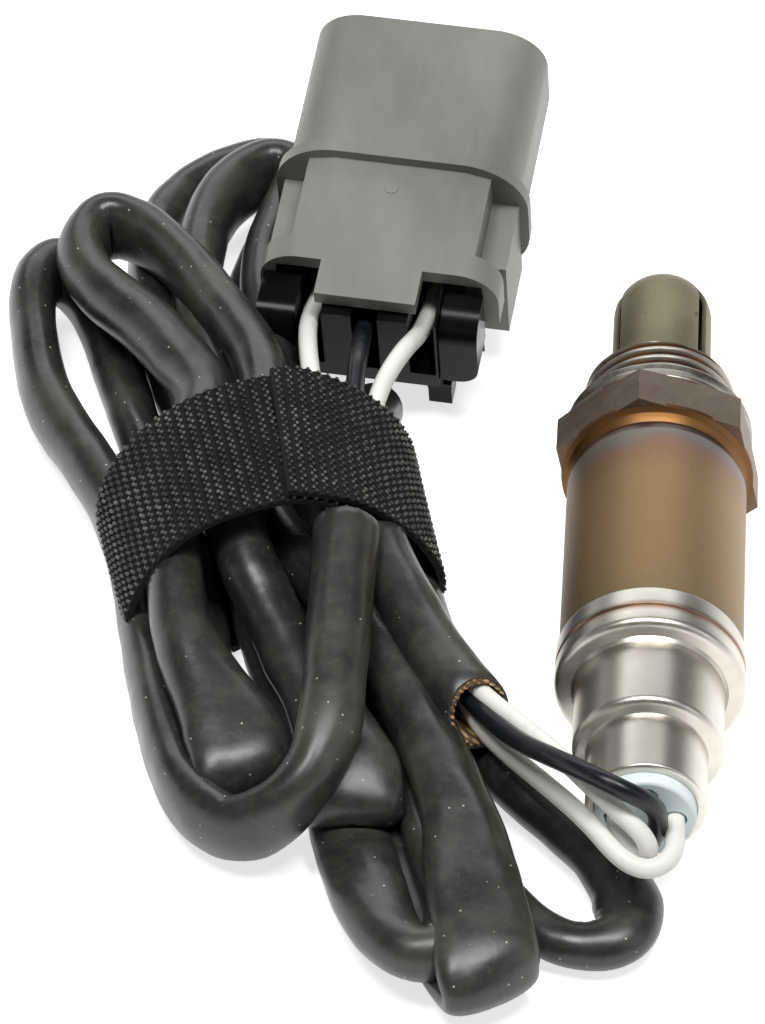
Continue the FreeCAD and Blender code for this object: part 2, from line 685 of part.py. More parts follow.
along(connector, "Tab", block(tabWide, deckTop - tabThick, deckTop, rowShift), -tabRun, 0)
hoodInside = hoodWide - hoodThick * 2
along(connector, "HoodMouth", block(hoodInside, hoodLow, deckTop - hoodThick), 0, hoodDeep, "Pocket")
socketWide = shroudWide - shroudWall * 2
socket = roundedBlock(socketWide, shroudLow + shroudWall, deckTop - shroudWall, shroudRound - shroudWall)
along(connector, "Socket", socket, partition, mouth, "Pocket")
cavity = block(cavityWide, cavityLow, cavityHigh, rowShift)
along(connector, "Cavity", cavity, hoodDeep, cavityStop, "Pocket")


def threeHoles(radius):
    def draw(sketch):
        for i in (-1, 0, 1):
            circle(sketch, rowShift + terminalPitch * i, plugMid, radius)
        return sketch
    return draw


def threeSlots(sketch):
    for i in (-1, 0, 1):
        side = rowShift + terminalPitch * i
        half = bladeWide / 2 + fitPlay / 2
        thick = bladeThick / 2 + fitPlay / 2
        rectangle(sketch, side - half, plugMid - thick, side + half, plugMid + thick)
    return sketch


along(connector, "SealBores", threeHoles(sealBore), cavityStop, sealFront, "Pocket")
along(connector, "BarrelBores", threeHoles(barrelRadius + fitPlay / 2), sealFront, barrelStop, "Pocket")
along(connector, "BladeSlots", threeSlots, barrelStop, partition, "Pocket")
ribLow = deckTop - shroudWall - ribTall


def keyRibs(sketch):
    for side in (-1, 1):
        left = rowShift + terminalPitch * side / 2 - ribThick / 2
        rectangle(sketch, left, ribLow, left + ribThick, ribLow + ribTall + shroudWall / 2)
    return sketch


along(connector, "KeyRibs", keyRibs, partition, mouth - ribTall)
gateSketch = sketchOn(connector, "XY_Plane", "GateProfile", deckTop)
circle(gateSketch, rowShift / 2, rimFrom - ribTall * 2, gateRadius)
beforeGate = volume(connector)
gate = connector.newObject("PartDesign::Pad", "Gate")
gate.Profile = gateSketch
gate.Length = gateProud.value
gate.setExpression("Length", gateProud.text)
grown(connector, gate, beforeGate)

# Terminals and their seals.
for number, i in enumerate((-1, 0, 1), 1):
    side = rowShift + terminalPitch * i
    terminal = layPlug(body(f"blade_terminal_{number}"))
    along(terminal, "Barrel", lambda s: circle(s, side, plugMid, barrelRadius), sealFront, barrelStop)
    bladeStop = partition + bladeRun
    along(terminal, "Blade", lambda s: rectangle(
        s, side - bladeWide / 2, plugMid - bladeThick / 2, side + bladeWide / 2,
        plugMid + bladeThick / 2), barrelStop, bladeStop)
    dressed(terminal, "BladeTip", "Chamfer", bladeThick * 0.3, edgeAlong("x", within(bladeStop, bladeStop)))
    seal = layPlug(body(f"wire_seal_{number}"))
    along(seal, "Plug", lambda s: circle(s, side, plugMid, sealBore), cavityStop, sealFront)
    along(seal, "WireHole", lambda s: circle(s, side, plugMid, wireRadius), cavityStop, sealFront, "Pocket")

# Rear retainer: black, with three open wire channels, two lobes, a foot and a hook.
keeper = layPlug(body("rear_retainer"))
plugLow = cavityLow + fitPlay
plugHigh = cavityHigh - fitPlay
along(keeper, "Plug", block(cavityWide - fitPlay * 2, plugLow, plugHigh, rowShift), hoodDeep, cavityStop)
along(keeper, "Rear", block(keeperWide, 0, keeperTall, rowShift), -keeperRun, hoodDeep)
lobeTop = keeperTall - ribThick


def lobes(sketch):
    for side in (-1, 1):
        edge = rowShift + keeperWide / 2 * side
        rectangle(sketch, edge - lobeWide / 2, ribThick, edge + lobeWide / 2, lobeTop)
    return sketch


lobeBack = -keeperRun - lobeRun
along(keeper, "Lobes", lobes, lobeBack, -fitPlay)
lobeEdges = edgeAlong("x", above(lobeTop), within(lobeBack, lobeBack))
dressed(keeper, "LobeTops", "Fillet", lobeWide * 0.3, lobeEdges)


def channels(wide):
    def draw(sketch):
        for i in (-1, 0, 1):
            left = rowShift + terminalPitch * i - wide / 2
            rectangle(sketch, left, channelFloor, left + wide, keeperTall + fitPlay)
        return sketch
    return draw


along(keeper, "Channels", channels(channelWide), -keeperRun, hoodDeep, "Pocket")
along(keeper, "InnerChannels", channels(channelInner), hoodDeep, cavityStop, "Pocket")
along(keeper, "Foot", block(footWide, -footDrop, ribThick, footFrom), -footBack, -footBack + footWide)
hookLow = keeperTall * 0.35
hookHigh = hookLow + hookTall
hookEdge = rowShift + keeperWide / 2 + lobeWide / 2
along(keeper, "Hook", lambda s: outline(s, [
    (hookEdge - ribThick, hookLow), (hookEdge + hookReach, hookLow + ribThick),
    (hookEdge + hookReach, hookHigh), (hookEdge - ribThick, hookHigh)]), -keeperRun, -keeperRun + footWide)


# A wire tube: straight runs joined by arcs as large as the runs allow.
def route(label, points, radius):
    spots = [FreeCAD.Vector(*point) for point in points]
    edges = []
    bends = []
    start = spots[0]
    for before, corner, after in zip(spots, spots[1:], spots[2:]):
        into = (corner - before).normalize()
        out = (after - corner).normalize()
        turn = into.getAngle(out)
        setback = 0.45 * min((corner - before).Length, (after - corner).Length)
        bends.append(setback / math.tan(turn / 2))
        first = corner - into * setback
        last = corner + out * setback
        inward = (out - into).normalize()
        reach = bends[-1] / math.cos(turn / 2) - bends[-1]
        edges.append(Part.LineSegment(start, first).toShape())
        edges.append(Part.Arc(first, corner + inward * reach, last).toShape())
        start = last
    edges.append(Part.LineSegment(start, spots[-1]).toShape())
    path = Part.Wire(edges)
    ring = Part.Wire([Part.Circle(spots[0], spots[1] - spots[0], radius.value).toShape()])
    solid = path.makePipeShell([ring], True, False)
    ideal = math.pi * radius.value ** 2 * path.Length
    shown = ", ".join(f"{bend:.1f}" for bend in bends)
    print(f"{label}: length {path.Length:.1f}, volume ratio {solid.Volume / ideal:.4f}, arc radii {shown}")
    piece = node(doc.addObject("Part::Feature", "Feature_" + label), label)
    piece.Shape = solid
    piece.Placement = FreeCAD.Placement()
    return piece


def plugPoint(x, y, z):
    turn = FreeCAD.Rotation(plugYaw.value, 0, plugTilt.value)
    base = FreeCAD.Vector(plugX.value, plugY.value, plugZ.value)
    return tuple(base + turn.multVec(FreeCAD.Vector(x, y, z)))


# Lead wires between the grommet and the sleeve mouth.
def wireAtGrommet(turn):
    return (holePitch.value * math.cos(math.radians(turn)), middle.value + grommetFront.value,
            axisHeight.value + holePitch.value * math.sin(math.radians(turn)))


sensorRoutes = {
    "left": [(-3.35, -42.6, 12.5), (-3.2, -47.3, 12.4), (-2.2, -49.2, 11.8), (-0.6, -50.3, 11.3),
             (0.4, -51.0, 12.7), (0.0, -51.0, 14.7), (-2.0, -49.9, 16.5), (-5.2, -47.7, 18.0),
             (-9.3, -40.7, 17.0), (-13.7, -34.4, 16.0), (-18.2, -29.1, 14.4)],
    "low": [(0.05, -42.4, 9.1), (0.1, -46.9, 9.3), (0.9, -47.3, 11.2), (1.4, -47.6, 14.3),
            (0.8, -48.4, 17.6), (-2.2, -49.4, 20.2), (-6.2, -47.8, 20.8), (-10.8, -42.6, 18.4),
            (-15.1, -36.6, 15.0), (-19.3, -29.1, 12.2)],
    "right": [(3.25, -43.0, 12.4), (3.4, -48.4, 12.5), (3.1, -51.8, 12.8), (0.6, -53.5, 12.4),
              (-2.4, -52.3, 12.6), (-6.4, -48.0, 14.0), (-11.4, -40.6, 12.2), (-15.8, -34.2, 10.2),
              (-19.1, -29.3, 9.0)],
}
for name, points in sensorRoutes.items():
    route("sensor_wire_" + name, [wireAtGrommet(usedTurns[name])] + points, wireRadius)


# The bundle frame: u across, d along the bundle, z up.
def bundlePoint(u, d, z):
    turn = math.radians(strapYaw.value)
    return (strapX.value + u * math.cos(turn) - d * math.sin(turn),
            strapY.value + u * math.sin(turn) + d * math.cos(turn), z)


# Lead wires from the terminals, over the bundle, into the upper sleeve mouth.
plugRoutes = {"left": [(8.4, 18.0, 20.6), (7.0, 2.0, 21.1), (5.4, -10.7, 20.0)],
              "middle": [(11.2, 17.0, 20.2), (9.4, 2.0, 21.0), (7.4, -10.7, 20.9)],
              "right": [(14.0, 16.0, 18.8), (12.4, 2.0, 20.0), (9.4, -10.7, 20.0)]}
for (name, points), i in zip(plugRoutes.items(), (-1, 0, 1)):
    x = rowShift.value + terminalPitch.value * i
    ends = [plugPoint(x, sealFront.value, plugMid.value), plugPoint(x, 2.0, plugMid.value),
            plugPoint(x, -5.4, plugMid.value + 3.4)]
    route("plug_wire_" + name, ends + [bundlePoint(*point) for point in points], wireRadius)


# Sleeve hank: a core through the strap, flat loop plates and two open mouths.
def plate(points, half, low, high):
    pieces = []
    for u, d in points:
        pieces.append(Part.makeCylinder(half, high - low, FreeCAD.Vector(u, d, low)))
    for (u, d), (v, e) in zip(points, points[1:]):
        run = math.hypot(v - u, e - d)
        side = FreeCAD.Vector(e - d, u - v, 0) * (half / run)
        start, stop = FreeCAD.Vector(u, d, low), FreeCAD.Vector(v, e, low)
        ring = [start + side, stop + side, stop - side, start - side, start + side]
        pieces.append(Part.Face(Part.makePolygon(ring)).extrude(FreeCAD.Vector(0, 0, high - low)))
    return pieces[0].fuse(pieces[1:]).removeSplitter()


def tube(start, stop, radius):
    start, stop = FreeCAD.Vector(*start), FreeCAD.Vector(*stop)
    return Part.makeCylinder(radius, (stop - start).Length, start, stop - start)


sleeve = sleeveThick.value / 2
half = coreRun.value / 2
coreBox = Part.makeBox(coreWide.value, coreRun.value, coreTop.value - coreLow.value,
                       FreeCAD.Vector(-coreWide.value / 2, -half, coreLow.value))
coreEdges = [edge for edge in coreBox.Edges if abs(edge.tangentAt(edge.FirstParameter).y) > 0.9]
core = coreBox.makeFillet(coreRound.value * 0.999, coreEdges)
loops = [
    plate([(-14.2, 14.8), (-18.6, 32.5), (-20.6, 46.5), (-18.9, 56.2), (-14.6, 58.6), (-12.6, 49.0),
           (-11.5, 32.0), (-9.0, 14.8)], sleeve, 0, 7.6),
    plate([(-3.0, 14.8), (-4.8, 32.0), (-5.3, 50.1), (-2.8, 63.8), (1.1, 71.1), (7.8, 75.9), (14.0, 76.2),
           (17.4, 71.5), (14.6, 64.0), (7.0, 54.0)], sleeve, 0, 7.6),
    plate([(-2.6, 14.8), (-5.2, 26.0), (-9.5, 37.5), (-13.1, 49.0), (-12.6, 56.4), (-8.4, 57.2), (-3.6, 46.5),
           (-0.8, 34.0), (1.4, 25.0), (3.6, 14.8)], sleeve, 9.0, 17.4),
    plate([(0.0, 14.8), (-1.2, 30.0), (-1.2, 44.4), (3.0, 58.6), (7.6, 66.4), (12.4, 68.6), (11.4, 61.0),
           (7.0, 54.0), (4.0, 46.0), (1.4, 38.0), (-1.2, 30.0), (3.0, 14.8)], sleeve, 2.6, 10.2),
    plate([(12.2, 14.8), (16.2, 18.2), (17.2, 20.2)], sleeve, 2.0, 13.0),
    plate([(1.9, -28.9), (-1.7, -35.0), (-6.7, -40.7), (-11.8, -43.2), (-15.9, -39.8), (-18.0, -32.2),
           (-18.9, -23.3), (-14.2, -14.8)], sleeve, 0, 8.2),
    plate([(-9.5, -15.2), (-9.8, -30.5)], 4.6, 0.4, 13.0),
    plate([(-1.0, -15.8), (3.6, -29.0), (3.6, -41.5)], 5.2, 0.2, 10.6),
    plate([(3.0, -16.0), (9.7, -31.7), (11.4, -50.0), (10.4, -69.0)], 5.4, 0, 9.6),
    plate([(3.6, -41.5), (-2.0, -46.0), (-1.9, -54.8), (-0.5, -60.6), (2.6, -62.8), (5.2, -60.0),
           (6.2, -52.0)], sleeve, 0, 8.0),
    plate([(13.6, -14.8), (15.6, -38.0), (19.4, -46.4), (23.4, -54.6), (28.0, -64.6), (24.6, -68.6),
           (19.7, -66.6), (16.6, -58.0), (13.0, -46.0)], sleeve, 0, 5.4),
    tube((7.2, -10.9, 18.6), (1.9, -28.9, 9.2), sleeve),
    plate([(1.9, -28.9), (1.91, -28.9)], sleeve, 0, 10.4),
    tube((17.3, -36.9, 11.2), (12.0, -12.0, 12.4), sleeve),
]
hank = core.fuse(loops).removeSplitter()
if len(hank.Solids) != 1:
    raise RuntimeError(f"the hank has {len(hank.Solids)} solids")
bundle = node(doc.addObject("Part::Feature", "Feature_sleeve_hank"), "sleeve_hank")
bundle.Shape = hank.Solids[0]
bundle.Placement = FreeCAD.Placement(FreeCAD.Vector(strapX.value, strapY.value, 0),
                                     FreeCAD.Rotation(strapYaw.value, 0, 0))
bundle.setExpression("Placement.Base.x", strapX.text)
bundle.setExpression("Placement.Base.y", strapY.text)

# Strap: a flat band closed round the bundle.
strap = body("cable_strap")
strapInner = strapSpan - strapThick * 2
strapEdge = strapWide / 2
strapCeiling = strapTall - strapThick
along(strap, "Band", roundedBlock(strapSpan, asSize(0), strapTall, strapRound), -strapEdge, strapEdge)
along(strap, "Opening", roundedBlock(strapInner, strapThick, strapCeiling, strapRound - strapThick),
      -strapEdge, strapEdge, "Pocket")
strap.Placement = FreeCAD.Placement(FreeCAD.Vector(strapX.value, strapY.value, 0),
                                    FreeCAD.Rotation(strapYaw.value, 0, 0))
strap.setExpression("Placement.Base.x", strapX.text)
strap.setExpression("Placement.Base.y", strapY.text)

# Each piece is checked before its file is written.
doc.recompute()
for item in doc.Objects:
    if "Invalid" in item.State or "Error" in item.State:
        raise RuntimeError(f"{item.Name} is in state {item.State}")
for item in nodes:
    if item.Shape.isNull() or not item.Shape.isValid():
        raise RuntimeError(f"{item.Label} has no valid shape")
    item.Shape.exportStep(f"parts/{item.Label}.step")
    box = item.Shape.BoundBox
    print(f"{item.Label}: solids {len(item.Shape.Solids)}, volume {item.Shape.Volume:.1f}, "
          f"x {box.XMin:.1f} {box.XMax:.1f}, y {box.YMin:.1f} {box.YMax:.1f}, z {box.ZMin:.2f} {box.ZMax:.1f}")
print(f"{len(nodes)} pieces written")
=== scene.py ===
import bpy
import bmesh
import math
from mathutils import Matrix, Vector, noise


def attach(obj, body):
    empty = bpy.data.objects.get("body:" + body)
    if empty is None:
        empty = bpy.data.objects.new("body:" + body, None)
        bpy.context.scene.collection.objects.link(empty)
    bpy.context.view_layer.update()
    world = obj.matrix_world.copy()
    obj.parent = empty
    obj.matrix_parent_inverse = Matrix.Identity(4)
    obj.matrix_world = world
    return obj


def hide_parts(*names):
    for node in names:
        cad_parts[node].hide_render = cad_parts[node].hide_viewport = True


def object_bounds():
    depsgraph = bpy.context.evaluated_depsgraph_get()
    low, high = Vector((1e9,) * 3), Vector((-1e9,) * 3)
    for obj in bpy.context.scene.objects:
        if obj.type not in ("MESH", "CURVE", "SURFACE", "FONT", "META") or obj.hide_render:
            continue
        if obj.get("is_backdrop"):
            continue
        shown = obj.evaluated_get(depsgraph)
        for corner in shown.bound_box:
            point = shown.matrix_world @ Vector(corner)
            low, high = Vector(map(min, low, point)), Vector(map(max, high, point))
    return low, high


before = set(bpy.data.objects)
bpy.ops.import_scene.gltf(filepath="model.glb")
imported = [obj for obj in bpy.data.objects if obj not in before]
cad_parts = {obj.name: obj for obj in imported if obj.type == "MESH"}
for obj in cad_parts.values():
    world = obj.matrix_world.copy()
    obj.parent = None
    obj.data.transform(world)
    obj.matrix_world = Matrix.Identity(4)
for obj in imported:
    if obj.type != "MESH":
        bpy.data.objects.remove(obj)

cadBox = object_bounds()
mm = 0.001
print("frame loaded:", len(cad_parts), "nodes")

# The sensor lies along Y. Its lengths are counted from the rear face of the hexagon.
axisHeight = 12.447
hexRear = 11.4


def linearColour(text):
    parts = [int(text[i:i + 2], 16) / 255 for i in (1, 3, 5)]
    return tuple(c / 12.92 if c <= 0.04045 else ((c + 0.055) / 1.055) ** 2.4 for c in parts) + (1.0,)


# Each socket is linked, or set to a value or a hex colour.
def fillSockets(tree, node, inputs):
    for socket, value in inputs.items():
        if isinstance(value, bpy.types.NodeSocket):
            tree.links.new(value, node.inputs[socket])
        else:
            node.inputs[socket].default_value = linearColour(value) if str(value).startswith("#") else value


# Adds a node with its settings and links, and gives back one of its outputs. A short kind is a shader node.
def addNode(tree, kind, inputs=None, out=0, stops=(), **settings):
    made = tree.nodes.new(kind if "Node" in kind else "ShaderNode" + kind)
    for name, value in settings.items():
        setattr(made, name, value)
    fillSockets(tree, made, inputs or {})
    if stops:
        while len(made.color_ramp.elements) < len(stops):
            made.color_ramp.elements.new(0.5)
        for element, (position, text) in zip(made.color_ramp.elements, stops):
            element.position = position
            element.color = linearColour(text)
    return made.outputs[out] if made.outputs else made


def startMaterial(name, values):
    material = bpy.data.materials.new(name)
    material.use_nodes = True
    tree = material.node_tree
    shader = tree.nodes["Principled BSDF"]
    fillSockets(tree, shader, values)
    return material, tree, shader, addNode(tree, "TexCoord", out="Object")


# Stainless tube after hard use: drawn steel, satin, with straw, bronze and violet oxide colours, and a
# painted shade that darkens its left side.
def heatTintedStainless():
    material, tree, shader, place = startMaterial("heatTintedStainless", {"Metallic": 0.7, "Roughness": 0.5})
    x = addNode(tree, "SeparateXYZ", {0: place}, 0)
    y = addNode(tree, "SeparateXYZ", {0: place}, 1)
    cloud = addNode(tree, "TexNoise", {"Vector": place, "Scale": 90.0, "Detail": 3.0, "Roughness": 0.6})
    wander = addNode(tree, "MapRange", {0: cloud, 1: 0.3, 2: 0.7, 3: -1.6 * mm, 4: 1.6 * mm})
    along = addNode(tree, "Math", {0: y, 1: wander}, operation="ADD")
    run = addNode(tree, "MapRange", {0: along, 1: (hexRear - 2.6) * mm, 2: (hexRear - 30.8) * mm})
    tint = addNode(tree, "ValToRGB", {0: run}, stops=[
        (0.0, "#868580"), (0.05, "#827c77"), (0.1, "#876e66"), (0.17, "#8d7157"), (0.3, "#967d57"),
        (0.55, "#957c57"), (0.8, "#917a56"), (1.0, "#887659")])
    # Grit of about 0.5 mm
    grit = addNode(tree, "TexNoise", {"Vector": place, "Scale": 1400.0, "Detail": 6.0, "Roughness": 0.75})
    rubbed = addNode(tree, "MapRange", {0: grit, 1: 0.35, 2: 0.65, 3: 0.0, 4: 0.22})
    worn = addNode(tree, "Mix", {0: rubbed, 6: tint, 7: "#b39a78"}, 2, data_type="RGBA")
    # Painted shade: towards low x the colour is multiplied with a dull olive, so the tube's left side is
    # darker.
    side = addNode(tree, "MapRange", {0: x, 1: -10.6 * mm, 2: 6.0 * mm})
    paintedLeftShade = addNode(tree, "Mix", {0: 0.6, 6: worn, 7: "#a39a72"}, 2, data_type="RGBA", blend_type="MULTIPLY")
    drawn = addNode(tree, "Mapping", {0: place, 3: (2600.0, 60.0, 2600.0)})
    lines = addNode(tree, "TexNoise", {"Vector": drawn, "Scale": 1.0, "Detail": 3.0, "Roughness": 0.6})
    fillSockets(tree, shader, {
        "Base Color": addNode(tree, "Mix", {0: side, 6: paintedLeftShade, 7: worn}, 2, data_type="RGBA"),
        "Roughness": addNode(tree, "MapRange", {0: grit, 1: 0.3, 2: 0.7, 3: 0.44, 4: 0.58}),
        "Normal": addNode(tree, "Bump", {"Height": lines, "Distance": 0.02 * mm, "Strength": 0.35})})
    return material


# Hexagon steel, baked to a brown oxide: turned faces, milled flats, paler where it rubs.
def oxidisedSteel():
    material, tree, shader, place = startMaterial("oxidisedSteel", {"Metallic": 0.85, "Roughness": 0.5})
    y = addNode(tree, "SeparateXYZ", {0: place}, 1)
    cloud = addNode(tree, "TexNoise", {"Vector": place, "Scale": 160.0, "Detail": 5.0, "Roughness": 0.7})
    grit = addNode(tree, "TexNoise", {"Vector": place, "Scale": 2200.0, "Detail": 4.0, "Roughness": 0.8})
    tint = addNode(tree, "ValToRGB", {0: cloud}, stops=[
        (0.3, "#6d5c52"), (0.5, "#796a5d"), (0.68, "#86776a")])
    rubbed = addNode(tree, "MapRange", {0: grit, 1: 0.5, 2: 0.75, 3: 0.0, 4: 0.5})
    dusty = addNode(tree, "Mix", {0: rubbed, 6: tint, 7: "#97897a"}, 2, data_type="RGBA")
    under = addNode(tree, "MapRange", {0: y, 1: (hexRear + 0.15) * mm, 2: (hexRear - 0.5) * mm})
    patches = addNode(tree, "MapRange", {0: cloud, 1: 0.35, 2: 0.65})
    bronze = addNode(tree, "Mix", {0: patches, 6: "#5f452c", 7: "#8a6032"}, 2, data_type="RGBA")
    milled = addNode(tree, "Mapping", {0: place, 3: (500.0, 3000.0, 500.0)})
    lines = addNode(tree, "TexNoise", {"Vector": milled, "Scale": 1.0, "Detail": 2.0, "Roughness": 0.6})
    ridges = addNode(tree, "Bump", {"Height": lines, "Distance": 0.02 * mm, "Strength": 0.5})
    fillSockets(tree, shader, {
        "Base Color": addNode(tree, "Mix", {0: under, 6: dusty, 7: bronze}, 2, data_type="RGBA"),
        "Roughness": addNode(tree, "MapRange", {0: cloud, 1: 0.3, 2: 0.7, 3: 0.42, 4: 0.58}),
        "Normal": addNode(tree, "Bump", {
            "Height": grit, "Distance": 0.03 * mm, "Strength": 0.5, "Normal": ridges})})
    return material


# Bronze coloured weld neck: a smooth turned groove with amber oxide.
def amberSteel():
    material, tree, shader, place = startMaterial("amberSteel", {"Metallic": 0.9, "Roughness": 0.42})
    y = addNode(tree, "SeparateXYZ", {0: place}, 1)
    cloud = addNode(tree, "TexNoise", {"Vector": place, "Scale": 220.0, "Detail": 4.0, "Roughness": 0.6})
    run = addNode(tree, "MapRange", {0: y, 1: hexRear * mm, 2: (hexRear - 2.7) * mm})
    tint = addNode(tree, "ValToRGB", {0: run}, stops=[
        (0.0, "#6b4a2c"), (0.3, "#8a6234"), (0.5, "#6f5040"), (0.72, "#6e5f58"), (1.0, "#7d776e")])
    patches = addNode(tree, "MapRange", {0: cloud, 1: 0.4, 2: 0.7, 3: 0.0, 4: 0.6})
    turned = addNode(tree, "Mapping", {0: place, 3: (300.0, 9000.0, 300.0)})
    lines = addNode(tree, "TexNoise", {"Vector": turned, "Scale": 1.0, "Detail": 4.0, "Roughness": 0.6})
    fillSockets(tree, shader, {
        "Base Color": addNode(tree, "Mix", {0: patches, 6: tint, 7: "#6a4c35"}, 2, data_type="RGBA"),
        "Normal": addNode(tree, "Bump", {"Height": lines, "Distance": 0.02 * mm, "Strength": 0.4})})
    return material


# Rolled thread with seize paste burnt into its flanks: grey crests, brown roots.
def threadSteel():
    material, tree, shader, place = startMaterial("threadSteel", {"Metallic": 0.95, "Roughness": 0.38})
    x = addNode(tree, "SeparateXYZ", {0: place}, 0)
    z = addNode(tree, "SeparateXYZ", {0: place}, 2)
    lift = addNode(tree, "Math", {0: z, 1: axisHeight * mm}, operation="SUBTRACT")
    flat = addNode(tree, "CombineXYZ", {0: x, 1: lift})
    radius = addNode(tree, "VectorMath", {0: flat}, 1, operation="LENGTH")
    cloud = addNode(tree, "TexNoise", {"Vector": place, "Scale": 260.0, "Detail": 5.0, "Roughness": 0.7})
    burnt = addNode(tree, "MapRange", {0: cloud, 1: 0.42, 2: 0.62})
    roots = addNode(tree, "Mix", {0: burnt, 6: "#54504a", 7: "#a06a30"}, 2, data_type="RGBA")
    crest = addNode(tree, "MapRange", {0: radius, 1: 8.45 * mm, 2: 8.9 * mm})
    grit = addNode(tree, "TexNoise", {"Vector": place, "Scale": 2500.0, "Detail": 4.0, "Roughness": 0.6})
    fillSockets(tree, shader, {
        "Base Color": addNode(tree, "Mix", {0: crest, 6: roots, 7: "#a9a59c"}, 2, data_type="RGBA"),
        "Normal": addNode(tree, "Bump", {"Height": grit, "Distance": 0.02 * mm, "Strength": 0.4})})
    return material


# Drawn stainless shell: satin along its length, brighter on its rolled shoulders, stained at its weld.
def satinStainless():
    material, tree, shader, place = startMaterial("satinStainless", {"Metallic": 1.0, "Roughness": 0.34})
    y = addNode(tree, "SeparateXYZ", {0: place}, 1)
    drawn = addNode(tree, "Mapping", {0: place, 3: (900.0, 5200.0, 900.0)})
    grain = addNode(tree, "TexNoise", {"Vector": drawn, "Scale": 1.0, "Detail": 4.0, "Roughness": 0.7})
    cloud = addNode(tree, "TexNoise", {"Vector": place, "Scale": 130.0, "Detail": 3.0, "Roughness": 0.6})
    tint = addNode(tree, "ValToRGB", {0: cloud}, stops=[(0.3, "#c1bdb2"), (0.5, "#cbc7bc"), (0.7, "#d4d0c6")])
    away = addNode(tree, "Math", {0: y, 1: (hexRear - 33.7) * mm}, operation="SUBTRACT")
    near = addNode(tree, "Math", {0: away}, operation="ABSOLUTE")
    stain = addNode(tree, "MapRange", {0: near, 1: 0.9 * mm, 2: 0.1 * mm})
    weld = addNode(tree, "Mix", {0: stain, 6: tint, 7: "#8a6a55"}, 2, data_type="RGBA")
    lap = addNode(tree, "MapRange", {
        0: y, 1: (hexRear - 33.6) * mm, 2: (hexRear - 31.0) * mm, 3: 0.0, 4: 0.35})
    fillSockets(tree, shader, {
        "Base Color": addNode(tree, "Mix", {0: lap, 6: weld, 7: "#a9a9a8"}, 2, data_type="RGBA"),
        "Roughness": addNode(tree, "MapRange", {0: grain, 1: 0.3, 2: 0.7, 3: 0.28, 4: 0.4}),
        "Normal": addNode(tree, "Bump", {"Height": grain, "Distance": 0.012 * mm, "Strength": 0.35})})
    return material


# Protection tube: scale-brown stainless gone olive grey, with a few soot spots.
def oliveScaledSteel():
    material, tree, shader, place = startMaterial("oliveScaledSteel", {"Metallic": 0.65, "Roughness": 0.5})
    cloud = addNode(tree, "TexNoise", {"Vector": place, "Scale": 120.0, "Detail": 4.0, "Roughness": 0.6})
    spots = addNode(tree, "TexNoise", {"Vector": place, "Scale": 420.0, "Detail": 2.0, "Roughness": 0.5})
    fine = addNode(tree, "TexNoise", {"Vector": place, "Scale": 3000.0, "Detail": 3.0, "Roughness": 0.6})
    tint = addNode(tree, "ValToRGB", {0: cloud}, stops=[
        (0.32, "#6e6a55"), (0.5, "#7b765f"), (0.68, "#878169")])
    soot = addNode(tree, "MapRange", {0: spots, 1: 0.69, 2: 0.74, 3: 0.0, 4: 0.75})
    sooty = addNode(tree, "Mix", {0: soot, 6: tint, 7: "#4a453a"}, 2, data_type="RGBA")
    rubbed = addNode(tree, "MapRange", {0: fine, 1: 0.35, 2: 0.7, 3: 0.0, 4: 0.2})
    fillSockets(tree, shader, {
        "Base Color": addNode(tree, "Mix", {0: rubbed, 6: sooty, 7: "#a39c86"}, 2, data_type="RGBA"),
        "Roughness": addNode(tree, "MapRange", {0: cloud, 1: 0.3, 2: 0.7, 3: 0.44, 4: 0.58}),
        "Normal": addNode(tree, "Bump", {"Height": fine, "Distance": 0.01 * mm, "Strength": 0.4})})
    return material


# Plain metal, for the gasket and for what sits inside: grain of 0.4 mm, coarse enough to show.
def plainMetal(name, dark, colour, roughness):
    values = {"Metallic": 1.0, "Base Color": colour, "Roughness": roughness}
    material, tree, shader, place = startMaterial(name, values)
    grain = addNode(tree, "TexNoise", {"Vector": place, "Scale": 2500.0, "Detail": 4.0, "Roughness": 0.6})
    patches = addNode(tree, "MapRange", {0: grain, 1: 0.35, 2: 0.65})
    fillSockets(tree, shader, {
        "Base Color": addNode(tree, "Mix", {0: patches, 6: dark, 7: colour}, 2, data_type="RGBA"),
        "Roughness": addNode(tree, "MapRange", {
            0: grain, 1: 0.3, 2: 0.7, 3: roughness - 0.06, 4: roughness + 0.08}),
        "Normal": addNode(tree, "Bump", {"Height": grain, "Distance": 0.015 * mm, "Strength": 0.4})})
    return material


# Sintered or pressed mineral pieces: matt, with a fine sandy grain.
def firedCeramic(name, dark, colour):
    values = {"Base Color": colour, "Roughness": 0.6, "IOR": 1.7}
    material, tree, shader, place = startMaterial(name, values)
    grain = addNode(tree, "TexNoise", {"Vector": place, "Scale": 2600.0, "Detail": 4.0, "Roughness": 0.7})
    patches = addNode(tree, "MapRange", {0: grain, 1: 0.3, 2: 0.7})
    fillSockets(tree, shader, {
        "Base Color": addNode(tree, "Mix", {0: patches, 6: dark, 7: colour}, 2, data_type="RGBA"),
        "Normal": addNode(tree, "Bump", {"Height": grain, "Distance": 0.02 * mm, "Strength": 0.4})})
    return material


# Fluoropolymer: waxy, slightly blue white, light goes a little way in.
def fluoropolymer():
    values = {"Base Color": "#dfecf1", "Roughness": 0.42, "IOR": 1.35, "Subsurface Weight": 0.15,
              "Subsurface Radius": (1.2 * mm, 1.4 * mm, 1.6 * mm)}
    material, tree, shader, place = startMaterial("fluoropolymer", values)
    cloud = addNode(tree, "TexNoise", {"Vector": place, "Scale": 240.0, "Detail": 3.0, "Roughness": 0.6})
    grit = addNode(tree, "TexNoise", {"Vector": place, "Scale": 1500.0, "Detail": 4.0, "Roughness": 0.6})
    fillSockets(tree, shader, {
        "Base Color": addNode(tree, "ValToRGB", {0: cloud}, stops=[(0.3, "#e6f2f6"), (0.7, "#eff7f9")]),
        "Normal": addNode(tree, "Bump", {"Height": grit, "Distance": 0.01 * mm, "Strength": 0.4})})
    return material


